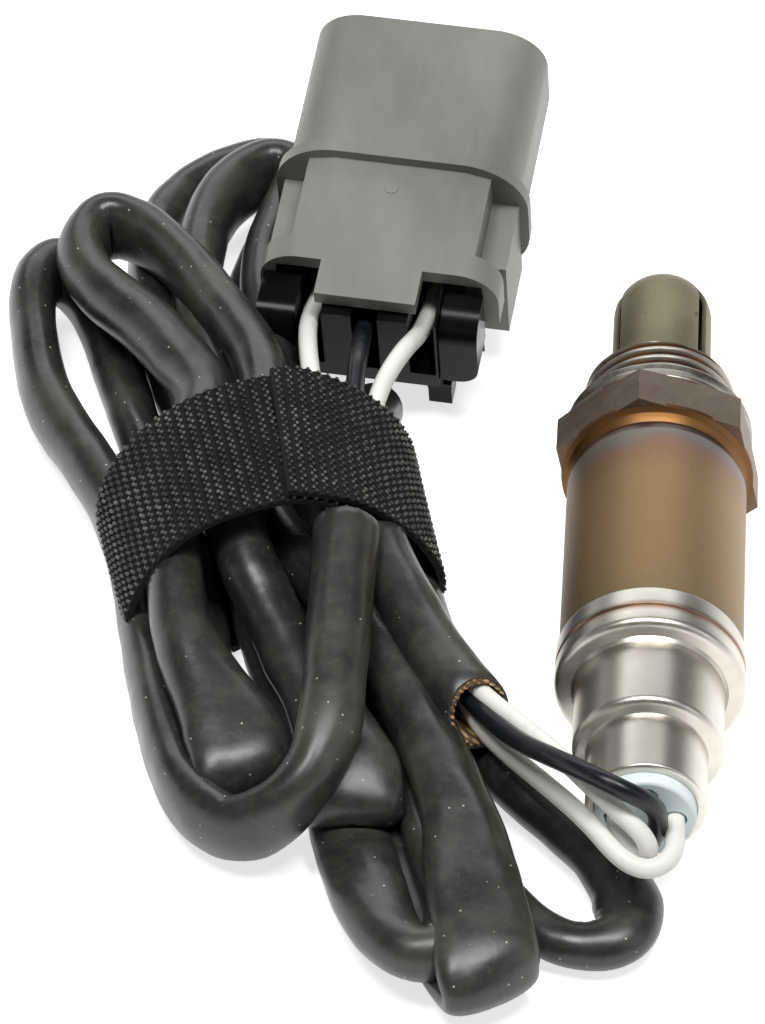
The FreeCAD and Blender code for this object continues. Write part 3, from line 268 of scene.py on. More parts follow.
# Extruded wire insulation: smooth, a soft long highlight, faint handling marks.
def wireInsulation(name, colour, mark, roughness):
    values = {"Base Color": colour, "Roughness": roughness, "IOR": 1.4}
    material, tree, shader, place = startMaterial(name, values)
    cloud = addNode(tree, "TexNoise", {"Vector": place, "Scale": 500.0, "Detail": 4.0, "Roughness": 0.7})
    handled = addNode(tree, "MapRange", {0: cloud, 1: 0.52, 2: 0.8, 3: 0.0, 4: 0.35})
    fillSockets(tree, shader, {
        "Base Color": addNode(tree, "Mix", {0: handled, 6: colour, 7: mark}, 2, data_type="RGBA"),
        "Roughness": addNode(tree, "MapRange", {
            0: cloud, 1: 0.3, 2: 0.7, 3: roughness - 0.05, 4: roughness + 0.1}),
        "Normal": addNode(tree, "Bump", {"Height": cloud, "Distance": 0.03 * mm, "Strength": 0.25})})
    return material


# Silicone-coated glass braid: a black satin skin that shows dust and rubs to grey.
def coatedBraid():
    values = {"Base Color": "#2d2e2b", "Roughness": 0.36, "IOR": 1.54}
    material, tree, shader, place = startMaterial("coatedBraid", values)
    cloud = addNode(tree, "TexNoise", {"Vector": place, "Scale": 90.0, "Detail": 4.0, "Roughness": 0.6})
    rub = addNode(tree, "TexNoise", {"Vector": place, "Scale": 900.0, "Detail": 5.0, "Roughness": 0.75})
    soft = addNode(tree, "TexNoise", {"Vector": place, "Scale": 260.0, "Detail": 3.0, "Roughness": 0.6})
    tint = addNode(tree, "ValToRGB", {0: cloud}, stops=[
        (0.32, "#1e1f1d"), (0.5, "#2d2e2b"), (0.7, "#454641")])
    rubbed = addNode(tree, "MapRange", {0: rub, 1: 0.5, 2: 0.8, 3: 0.0, 4: 0.3})
    greyed = addNode(tree, "Mix", {0: rubbed, 6: tint, 7: "#64645d"}, 2, data_type="RGBA")
    specks = addNode(tree, "TexVoronoi", {"Vector": place, "Scale": 700.0}).node.outputs
    dot = addNode(tree, "MapRange", {0: specks["Distance"], 1: 0.11, 2: 0.05})
    lot = addNode(tree, "SeparateXYZ", {0: specks["Color"]})
    some = addNode(tree, "Math", {0: lot, 1: 0.6}, operation="GREATER_THAN")
    dust = addNode(tree, "Math", {0: dot, 1: some}, operation="MULTIPLY")
    waves = addNode(tree, "Bump", {"Height": soft, "Distance": 0.12 * mm, "Strength": 0.5})
    fillSockets(tree, shader, {
        "Base Color": addNode(tree, "Mix", {0: dust, 6: greyed, 7: "#b9b8b2"}, 2, data_type="RGBA"),
        "Roughness": addNode(tree, "MapRange", {0: cloud, 1: 0.3, 2: 0.7, 3: 0.24, 4: 0.42}),
        "Normal": addNode(tree, "Bump", {
            "Height": rub, "Distance": 0.03 * mm, "Strength": 0.35, "Normal": waves})})
    return material


# Cut braid: brown glass yarns, two sets that cross, about 0.6 mm wide.
def glassBraid():
    values = {"Base Color": "#8c6a3e", "Roughness": 0.7, "Sheen Weight": 0.3}
    material, tree, shader, place = startMaterial("glassBraid", values)
    yarns = {"Vector": place, "Scale": 520.0, "Distortion": 1.5}
    first, second = [addNode(tree, "TexWave", yarns, 1, bands_direction=way) for way in ("DIAGONAL", "Z")]
    cross = addNode(tree, "Math", {0: first, 1: second}, operation="MULTIPLY")
    fillSockets(tree, shader, {
        "Base Color": addNode(tree, "ValToRGB", {0: cross}, stops=[
            (0.0, "#4a3419"), (0.35, "#8a6737"), (0.8, "#c09a5e")]),
        "Normal": addNode(tree, "Bump", {"Height": cross, "Distance": 0.2 * mm, "Strength": 0.8})})
    return material


# Woven nylon: black, dull, with a painted highlight for the small soft light that each raised loop catches.
def wovenNylon(name, colour, pale, share, roughness):
    values = {"Base Color": colour, "Roughness": roughness, "IOR": 1.4}
    material, tree, shader, place = startMaterial(name, values)
    across = addNode(tree, "Mapping", {0: place, 3: (7000.0, 2200.0, 7000.0)})
    fibre = addNode(tree, "TexNoise", {"Vector": across, "Scale": 1.0, "Detail": 3.0, "Roughness": 0.7})
    patch = addNode(tree, "TexNoise", {"Vector": place, "Scale": 320.0, "Detail": 3.0, "Roughness": 0.6})
    # Painted highlight: where the fibre streaks and the patches are both high, the colour goes towards the
    # pale one.
    paintedHighlightMask = addNode(tree, "Math", {0: fibre, 1: patch}, operation="MULTIPLY")
    paintedHighlight = addNode(tree, "MapRange", {0: paintedHighlightMask, 1: 0.22, 2: 0.42, 3: 0.0, 4: share})
    fillSockets(tree, shader, {
        "Base Color": addNode(tree, "Mix", {0: paintedHighlight, 6: colour, 7: pale}, 2, data_type="RGBA"),
        "Normal": addNode(tree, "Bump", {"Height": fibre, "Distance": 0.06 * mm, "Strength": 0.7})})
    return material


# Moulded nylon: fine eroded texture from the tool, flow lines and slight sheen.
def mouldedNylon(name, dark, mid, pale, roughness, flow=0.35, ior=1.53):
    values = {"Base Color": mid, "Roughness": roughness, "IOR": ior}
    material, tree, shader, place = startMaterial(name, values)
    drawnOut = addNode(tree, "Mapping", {0: place, 3: (70.0, 26.0, 70.0)})
    flowing = addNode(tree, "Mapping", {0: place, 3: (700.0, 60.0, 700.0)})
    cloud = addNode(tree, "TexNoise", {"Vector": drawnOut, "Scale": 1.0, "Detail": 4.0, "Roughness": 0.6})
    lines = addNode(tree, "TexNoise", {"Vector": flowing, "Scale": 1.0, "Detail": 4.0, "Roughness": 0.7})
    grain = addNode(tree, "TexNoise", {"Vector": place, "Scale": 3800.0, "Detail": 3.0, "Roughness": 0.7})
    tint = addNode(tree, "ValToRGB", {0: cloud}, stops=[(0.32, dark), (0.5, mid), (0.68, pale)])
    streaks = addNode(tree, "MapRange", {0: lines, 1: 0.45, 2: 0.75, 3: 0.0, 4: flow})
    fillSockets(tree, shader, {
        "Base Color": addNode(tree, "Mix", {0: streaks, 6: tint, 7: pale}, 2, data_type="RGBA"),
        "Roughness": addNode(tree, "MapRange", {
            0: cloud, 1: 0.3, 2: 0.7, 3: roughness - 0.05, 4: roughness + 0.09}),
        "Normal": addNode(tree, "Bump", {"Height": grain, "Distance": 0.02 * mm, "Strength": 0.5})})
    return material


finishes = {
    "tube": heatTintedStainless(), "hex": oxidisedSteel(), "neck": amberSteel(), "thread": threadSteel(),
    "shell": satinStainless(), "tip": oliveScaledSteel(), "grommet": fluoropolymer(),
    "gasket": plainMetal("rolledGasketSteel", "#858177", "#9b968b", 0.34),
    "inner": plainMetal("innerStainless", "#918f8a", "#a8a6a0", 0.4),
    "contact": plainMetal("tinnedBrass", "#9f9578", "#b8ad8c", 0.3),
    "ceramic": firedCeramic("zirconiaCeramic", "#d9d6cd", "#e9e6dc"),
    "talc": firedCeramic("pressedTalc", "#c1c1b8", "#cfcfc6"),
    "whiteWire": wireInsulation("whiteInsulation", "#ecebe6", "#c9c7bd", 0.38),
    "blackWire": wireInsulation("blackInsulation", "#14171b", "#3c3f42", 0.3),
    "sleeve": coatedBraid(), "braid": glassBraid(),
    # The pale colour of each woven finish is a painted highlight: faint on the strap's ground, bright on its
    # loops.
    "strap": wovenNylon("strapGround", "#0b0b0a", "#1f1f1d", 0.5, 0.85),
    "loops": wovenNylon("strapLoops", "#2b2c29", "#94958f", 0.7, 0.4),
    "connector": mouldedNylon("greyNylon", "#6f716a", "#797b74", "#858780", 0.42),
    "retainer": mouldedNylon("blackNylon", "#070707", "#0b0b0a", "#131312", 0.2, 0.2, 1.22),
    "seal": mouldedNylon("sealSilicone", "#3c3d40", "#47484b", "#55565a", 0.5, 0.2),
}
print("materials made:", len(finishes))


def linkObject(name, data):
    item = bpy.data.objects.new(name, data)
    bpy.context.scene.collection.objects.link(item)
    return item


def shadeSmooth(piece, smoothAngle):
    piece.data.shade_smooth()
    piece.data.set_sharp_from_angle(angle=math.radians(smoothAngle))


def linkPiece(name, mesh, material, smoothAngle=35.0):
    mesh.materials.clear()
    mesh.materials.append(material)
    piece = linkObject(name, mesh)
    shadeSmooth(piece, smoothAngle)
    return piece


def meshFrom(name, points, faces):
    mesh = bpy.data.meshes.new(name)
    mesh.from_pydata([Vector(p) * mm for p in points], [], faces)
    form = bmesh.new()
    form.from_mesh(mesh)
    bmesh.ops.remove_doubles(form, verts=form.verts, dist=1e-7)
    bmesh.ops.recalc_face_normals(form, faces=form.faces)
    form.to_mesh(mesh)
    form.free()
    return mesh


def applied(piece):
    graph = bpy.context.evaluated_depsgraph_get()
    mesh = bpy.data.meshes.new_from_object(piece.evaluated_get(graph), depsgraph=graph)
    piece.modifiers.clear()
    piece.data = mesh
    return piece


def bevelled(piece, width, angle, segments=2):
    soften = piece.modifiers.new("soften", "BEVEL")
    soften.width = width * mm
    soften.segments = segments
    soften.limit_method = "ANGLE"
    soften.angle_limit = math.radians(angle)
    return applied(piece)


# The tool is taken off the piece, or the two are kept only where they meet.
def cutWith(piece, tool, operation="DIFFERENCE"):
    cut = piece.modifiers.new("cut", "BOOLEAN")
    cut.operation = operation
    cut.solver = "EXACT"
    cut.object = tool
    applied(piece)
    bpy.data.objects.remove(tool)


def finished(piece, slot, *nodes):
    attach(piece, "root")
    if nodes:
        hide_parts(*nodes)
    return piece


# Quads between neighbouring rings of points. A closed run also joins its last ring to its first.
def ringFaces(rings, sides, closed=False):
    faces = []
    for i in range(rings if closed else rings - 1):
        j = (i + 1) % rings
        for k in range(sides):
            n = (k + 1) % sides
            faces.append((i * sides + k, i * sides + n, j * sides + n, j * sides + k))
    return faces


# Corner points (s, radius, fillet) become a smooth profile.
def roundedProfile(corners, steps=5, closed=False):
    points = []
    count = len(corners)
    for i, (s, r, fillet) in enumerate(corners):
        if fillet <= 0 or (not closed and i in (0, count - 1)):
            points.append((s, r))
            continue
        here = Vector((s, r))
        before = Vector(corners[i - 1][:2]) - here
        after = Vector(corners[(i + 1) % count][:2]) - here
        half = before.angle(after) / 2
        setback = min(fillet / math.tan(half), before.length * 0.49, after.length * 0.49)
        radius = setback * math.tan(half)
        first, last = here + before.normalized() * setback, here + after.normalized() * setback
        heart = here + (before.normalized() + after.normalized()).normalized() * (radius / math.sin(half))
        for k in range(steps + 1):
            mix = first.lerp(last, k / steps) - heart
            points.append(tuple(heart + mix.normalized() * radius))
    return points


# A shape turned about the sensor's axis. A closed profile makes a ring.
def turnedMesh(name, profile, closed=False, steps=144, reach=None):
    points = []
    rings = []
    for s, r in profile:
        if r < 1e-6:
            rings.append([len(points)])
            points.append((0, hexRear + s, axisHeight))
            continue
        ring = []
        for k in range(steps):
            turn = 2 * math.pi * k / steps
            size = reach(s, turn, r) if reach else r
            ring.append(len(points))
            points.append((size * math.cos(turn), hexRear + s, axisHeight + size * math.sin(turn)))
        rings.append(ring)
    faces = []
    for low, high in zip(rings, rings[1:] + rings[:1] if closed else rings[1:]):
        for k in range(steps):
            n = (k + 1) % steps
            if len(low) == 1 and len(high) == 1:
                break
            if len(low) == 1:
                faces.append((low[0], high[n], high[k]))
            elif len(high) == 1:
                faces.append((low[k], low[n], high[0]))
            else:
                faces.append((low[k], low[n], high[n], high[k]))
    return meshFrom(name, points, faces)


# Sensor body
guardTube = {"radius": 10.6, "wall": 0.8, "front": -2.6, "back": -30.8, "lapEnd": -35.2, "lapRadius": 10.35}
g = guardTube
bore = g["radius"] - g["wall"]
profile = roundedProfile([
    (g["front"], bore, 0.15), (g["front"], g["radius"], 0.45), (g["back"], g["radius"], 0.05),
    (g["back"], g["lapRadius"], 0.05), (g["lapEnd"], g["lapRadius"], 0), (g["lapEnd"], bore, 0)], closed=True)
piece = linkPiece("guardTube", turnedMesh("guardTube", profile, closed=True), finishes["tube"])
finished(piece, "tube_steel", "guard_tube")

# Collar with a weld groove, then two drawn steps down to the cable's mouth.
rearShell = {"front": -30.8, "bore": 10.36, "collar": 10.95, "seam": -33.7, "seamHalf": 0.28,
             "seamDepth": 0.26, "collarBack": -36.6, "mid": 8.6, "midBack": -46.9, "end": 6.85,
             "back": -55.7, "mouth": 5.75, "wall": 0.6, "shoulder": 0.38, "slope": 1.6}
r = rearShell
midBore, endBore, floorAt = r["mid"] - r["wall"], r["end"] - r["wall"], r["back"] + r["wall"]
midInside, collarInside = r["midBack"] + r["wall"], r["collarBack"] + r["wall"]
profile = roundedProfile([
    (r["front"], r["bore"], 0.05), (r["front"], r["collar"], 0.25),
    (r["seam"] + r["seamHalf"], r["collar"], 0.12), (r["seam"], r["collar"] - r["seamDepth"], 0.1),
    (r["seam"] - r["seamHalf"], r["collar"], 0.12), (r["collarBack"], r["collar"], 1.0),
    (r["collarBack"] - r["shoulder"], r["mid"], 0.45), (r["midBack"], r["mid"], 0.95),
    (r["midBack"] - r["shoulder"], r["end"], 0.4), (r["back"], r["end"], 0.4), (r["back"], r["mouth"], 0.15),
    (floorAt, r["mouth"], 0.1), (floorAt, endBore, 0), (midInside - r["slope"], endBore, 0),
    (midInside, midBore, 0), (collarInside - r["slope"], midBore, 0), (collarInside, r["bore"], 0)],
    steps=8, closed=True)
piece = linkPiece("rearShell", turnedMesh("rearShell", profile, closed=True), finishes["shell"], 60)
finished(piece, "shell_steel", "rear_shell")

# The ring is folded from sheet: full edges with a shallow waist between them.
gasketRing = {"inner": 9.15, "outer": 11.25, "from": 5.62, "to": 8.3, "waist": 11.03, "waistFrom": 6.75,
              "waistTo": 7.15, "lip": 0.5}
g = gasketRing
profile = roundedProfile([
    (g["from"], g["inner"], 0.2), (g["from"], g["outer"], 0.85), (g["waistFrom"], g["waist"], 0.3),
    (g["waistTo"], g["waist"], 0.3), (g["to"], g["outer"], 0.85), (g["to"], g["inner"] + g["lip"], 0.3),
    (g["to"] - g["lip"], g["inner"], 0.2)], closed=True)
piece = linkPiece("gasketRing", turnedMesh("gasketRing", profile, closed=True), finishes["gasket"], 50)
finished(piece, "gasket_steel", "gasket_ring")

# The hexagon is a prism met by a cone, so each corner gets its curved bevel.
hexNut = {"flats": 22.0, "thick": 5.6, "turn": 41.5, "crownFrom": 4.95, "crownTo": 11.2, "clear": 14.0,
          "edge": 0.16}
h = hexNut
corner = h["flats"] / math.sqrt(3)
points = []
for s in (0.0, h["thick"]):
    for k in range(6):
        turn = math.radians(h["turn"] + 60 * k)
        points.append((corner * math.cos(turn), hexRear + s, axisHeight + corner * math.sin(turn)))
faces = [tuple(range(6)), tuple(range(6, 12))] + ringFaces(2, 6)
piece = linkPiece("hexBody", meshFrom("hexBody", points, faces), finishes["hex"])
top = h["thick"] + 0.02
crownProfile = [(-1.0, 0), (-1.0, h["clear"]), (h["crownFrom"], h["clear"]), (top, h["crownTo"]), (top, 0)]
cutWith(piece, linkObject("crownTool", turnedMesh("crownTool", crownProfile, steps=192)), "INTERSECT")
finished(bevelled(piece, h["edge"], 24), "housing_steel", "threaded_housing")

# Weld neck behind the hexagon. Each corner is a length, a radius and a fillet.
weldNeck = {"steps": 6, "corners": [
    (0.4, 0, 0), (0.4, 11.4, 0), (-0.02, 11.35, 0), (-0.22, 10.7, 0.4), (-0.85, 10.25, 0.5),
    (-1.3, 9.95, 0.3), (-1.7, 10.2, 0.3), (-2.62, 10.15, 0.2), (-2.62, 9.8, 0), (-6.9, 9.8, 0.2),
    (-6.9, 7.2, 0.1), (-6.0, 7.2, 0), (-6.0, 0, 0)]}
profile = roundedProfile(weldNeck["corners"], weldNeck["steps"])
piece = linkPiece("weldNeck", turnedMesh("weldNeck", profile), finishes["neck"], 50)
finished(piece, "housing_steel", "threaded_housing")

# Right-hand thread, pitch 1.5 mm: the radius follows the helix all round.
noseThread = {"crest": 9.0, "root": 8.12, "pitch": 1.5, "start": 8.6, "stop": 15.5, "bevel": 1.0,
              "shift": 0.44, "full": 1.28, "flank": 2.9, "slope": 1.05, "neck": 8.4, "neckFrom": 5.5,
              "rows": 84, "tube": 5.95}
t = noseThread


def threadReach(s, turn, radius):
    if radius < t["root"] or not t["start"] <= s <= t["stop"]:
        return radius
    phase = ((s + t["shift"]) / t["pitch"] + turn / (2 * math.pi)) % 1.0
    ridge = max(0.0, min(1.0, t["full"] - abs(phase - 0.5) * t["flank"]))
    ridge = ridge * ridge * (3 - 2 * ridge)
    size = t["root"] + (t["crest"] - t["root"]) * ridge
    return min(size, t["crest"] - max(0.0, s - (t["stop"] - t["bevel"])) * t["slope"])


threadLine = [(t["neckFrom"], 0), (t["neckFrom"], t["neck"]), (t["start"], t["neck"])]
for k in range(t["rows"] + 1):
    threadLine.append((t["start"] + (t["stop"] - t["start"]) * k / t["rows"], t["neck"]))
threadLine += [(t["stop"], t["neck"] - 0.5), (t["stop"], t["tube"] + 0.35),
               (t["stop"] - 0.25, t["tube"] + 0.1), (t["stop"] - 0.3, 0)]
threadMesh = turnedMesh("threadRun", threadLine, steps=160, reach=threadReach)
piece = linkPiece("threadRun", threadMesh, finishes["thread"], 60)
finished(piece, "housing_steel", "threaded_housing")

# Protection tube: a domed cap, cut by three slots that run up over the dome.
tipTube = {"radius": 5.95, "wall": 0.6, "from": 12.5, "tip": 34.5, "slot": 1.6, "slotFrom": 16.9,
           "slotTo": 31.7, "slotRound": 0.7, "slotDeep": 10.0, "slotOut": 7.4, "turns": (36.0, 156.0, 276.0),
           "edge": 0.14}
t = tipTube
dome = t["tip"] - t["radius"]
profile = [(t["from"], t["radius"] - t["wall"]), (t["from"], t["radius"])]
for size, order in ((t["radius"], range(0, 19)), (t["radius"] - t["wall"], range(18, -1, -1))):
    for k in order:
        angle = math.radians(5 * k)
        profile.append((dome + size * math.sin(angle), size * math.cos(angle) if k < 18 else 0))
piece = linkPiece("protectionTube", turnedMesh("protectionTube", profile, closed=True), finishes["tip"], 40)
for turn in t["turns"]:
    form = bmesh.new()
    bmesh.ops.create_cube(form, size=1.0)
    size = Matrix.Diagonal((t["slotDeep"] * mm, (t["slotTo"] - t["slotFrom"]) * mm, t["slot"] * mm, 1.0))
    form.transform(Matrix.Translation((t["slotOut"] * mm, 0, 0)) @ size)
    along = [e for e in form.edges if abs((e.verts[0].co - e.verts[1].co).x) > mm]
    bmesh.ops.bevel(form, geom=along, offset=t["slotRound"] * mm, segments=6, profile=0.5, affect="EDGES")
    place = Matrix.Translation((0, (hexRear + (t["slotTo"] + t["slotFrom"]) / 2) * mm, axisHeight * mm))
    form.transform(place @ Matrix.Rotation(-math.radians(turn), 4, "Y"))
    slotMesh = bpy.data.meshes.new("slotTool")
    form.to_mesh(slotMesh)
    form.free()
    cutWith(piece, linkObject("slotTool", slotMesh))
bevelled(piece, t["edge"], 50)
shadeSmooth(piece, 40)
finished(piece, "tip_steel", "protection_tube")
print("sensor body made")


# Flat faces stay flat beside their rounded edges.
def evened(piece):
    shadeSmooth(piece, 48)
    piece.modifiers.new("even", "WEIGHTED_NORMAL").keep_sharp = True
    return applied(piece)


# A CAD node's own shape with its edges softened, as a mould leaves them.
def softenedCopy(name, node, material, edge, angle=30.0, segments=2):
    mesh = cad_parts[node].data.copy()
    form = bmesh.new()
    form.from_mesh(mesh)
    bmesh.ops.remove_doubles(form, verts=form.verts, dist=2e-6)
    bmesh.ops.dissolve_limit(form, angle_limit=math.radians(0.6), verts=form.verts, edges=form.edges)
    form.to_mesh(mesh)
    form.free()
    return evened(bevelled(linkPiece(name, mesh, material, 40), edge, angle, segments))


moulding = {"edge": 0.28}
piece = softenedCopy("connectorBody", "connector_housing", finishes["connector"], moulding["edge"])
finished(piece, "connector", "connector_housing")

# The connector's own frame, in which its retainer and the wires' first points are given.
connectorPlace = {"x": -34.0, "y": 42.0, "z": 3.933, "yaw": -7.5, "tilt": 15.0}


def fromConnector(x, y, z):
    c = connectorPlace
    turn = Matrix.Rotation(math.radians(c["yaw"]), 3, "Z") @ Matrix.Rotation(math.radians(c["tilt"]), 3, "X")
    return turn @ Vector((x, y, z)) + Vector((c["x"], c["y"], c["z"]))


# A box in the connector's frame, taken off a piece.
def cutAway(piece, low, high):
    corners = [(x, y, z) for x in (low[0], high[0]) for y in (low[1], high[1]) for z in (low[2], high[2])]
    faces = [(0, 1, 3, 2), (4, 6, 7, 5), (0, 4, 5, 1), (2, 3, 7, 6), (0, 2, 6, 4), (1, 5, 7, 3)]
    cutWith(piece, linkObject("cutTool", meshFrom("cutTool", [fromConnector(*c) for c in corners], faces)))


# A lobe of the retainer: its side outline rolls over at the top, and its outer foot is rounded.
def lobeMesh(name, lobe):
    front, back, low, top, roll = [lobe[title] for title in ("front", "back", "low", "top", "roll")]
    outline = [(front, low), (front, top)]
    for i in range(lobe["steps"] + 1):
        turn = 0.5 * math.pi * i / lobe["steps"]
        outline.append((back + roll * (1.0 - math.sin(turn)), top - roll * (1.0 - math.cos(turn))))
    outline.append((back, low))
    n = len(outline)
    spots = [fromConnector(x, y, z) for x in (lobe["inner"], lobe["outer"]) for y, z in outline]
    faces = [tuple(range(n)), tuple(range(2 * n - 1, n - 1, -1))] + ringFaces(2, n)
    mesh = meshFrom(name, spots, faces)
    form = bmesh.new()
    form.from_mesh(mesh)
    corners = [fromConnector(lobe["outer"], y, low) * mm for y in (front, back)]
    foot = [e for e in form.edges if all(min((v.co - c).length for c in corners) < 1e-6 for v in e.verts)]
    bmesh.ops.bevel(form, geom=foot, offset=lobe["corner"] * mm, segments=5, profile=0.5, affect="EDGES")
    form.to_mesh(mesh)
    form.free()
    return mesh


def joined(piece, meshes):
    form = bmesh.new()
    form.from_mesh(piece.data)
    for mesh in meshes:
        form.from_mesh(mesh)
    form.to_mesh(piece.data)
    form.free()


# Black retainer: its underside steps up behind the foot, and its right lobe is the shorter one.
lobeForm = {"front": -0.2, "top": 15.3, "roll": 3.4, "steps": 8}
leftLobe = dict(lobeForm, inner=-9.3, outer=-14.1, back=-7.6, low=1.2, corner=1.2)
rightLobe = dict(lobeForm, inner=8.2, outer=12.9, back=-5.6, low=4.4, corner=2.6)
retainer = {"edge": 0.45, "under": 3.6, "footLeft": 6.1, "footRight": 9.1, "footBack": -4.05,
            "lobeLeft": -9.2, "lobeRight": 8.1, "lobeFoot": 1.1, "lobeFront": -0.2, "side": 16.0,
            "back": -9.0, "below": -1.0, "above": 17.0, "front": 1.0, "lap": 0.1}
k = retainer
piece = softenedCopy("retainerBody", "rear_retainer", finishes["retainer"], 0.02, segments=1)
cutAway(piece, (-k["side"], k["back"], k["below"]), (k["side"], k["footBack"], k["under"]))
cutAway(piece, (-k["side"], k["footBack"] - k["lap"], k["below"]), (k["footLeft"], k["front"], k["under"]))
cutAway(piece, (k["footRight"], k["footBack"] - k["lap"], k["below"]), (k["side"], k["front"], k["under"]))
cutAway(piece, (k["lobeRight"], k["back"], k["lobeFoot"]), (k["side"], k["lobeFront"], k["above"]))
cutAway(piece, (-k["side"], k["back"], k["lobeFoot"]), (k["lobeLeft"], k["lobeFront"], k["above"]))
joined(piece, [lobeMesh("leftLobe", leftLobe), lobeMesh("rightLobe", rightLobe)])
finished(evened(bevelled(piece, k["edge"], 40, 3)), "retainer", "rear_retainer")

grommet = {"edge": 0.1, "angle": 50}
piece = softenedCopy("grommetBody", "cable_grommet", finishes["grommet"], grommet["edge"], grommet["angle"])
finished(piece, "grommet", "cable_grommet")
print("connector and grommet made")

# Cords. Route points are written out in mm, in the bundle's frame or the row's frame.
bundle = {"x": -45.5, "y": 2.5, "yaw": 15.0}


def fromBundle(u, d, z):
    turn = math.radians(bundle["yaw"])
    return Vector((bundle["x"] + u * math.cos(turn) - d * math.sin(turn),
                   bundle["y"] + u * math.sin(turn) + d * math.cos(turn), z))


def smoothLine(name, points, steps):
    data = bpy.data.curves.new(name, "CURVE")
    data.dimensions = "3D"
    data.resolution_u = steps
    spline = data.splines.new("NURBS")
    spline.points.add(len(points) - 1)
    for spot, point in zip(spline.points, points):
        spot.co = (*(Vector(point) * mm), 1.0)
    spline.order_u = 3
    spline.use_endpoint_u = True
    return data


def lineThrough(points, steps):
    carrier = linkObject("route", smoothLine("route", points, steps))
    graph = bpy.context.evaluated_depsgraph_get()
    graph.update()
    mesh = bpy.data.meshes.new_from_object(carrier.evaluated_get(graph), depsgraph=graph)
    line = [v.co / mm for v in mesh.vertices]
    bpy.data.objects.remove(carrier)
    return line


# The length from the start of a line to each of its points.
def travelledTo(line):
    lengths = [0.0]
    for a, b in zip(line, line[1:]):
        lengths.append(lengths[-1] + (b - a).length)
    return lengths


def lineLength(line):
    return travelledTo(line)[-1]


def limited(value):
    return max(0.0, min(1.0, value))


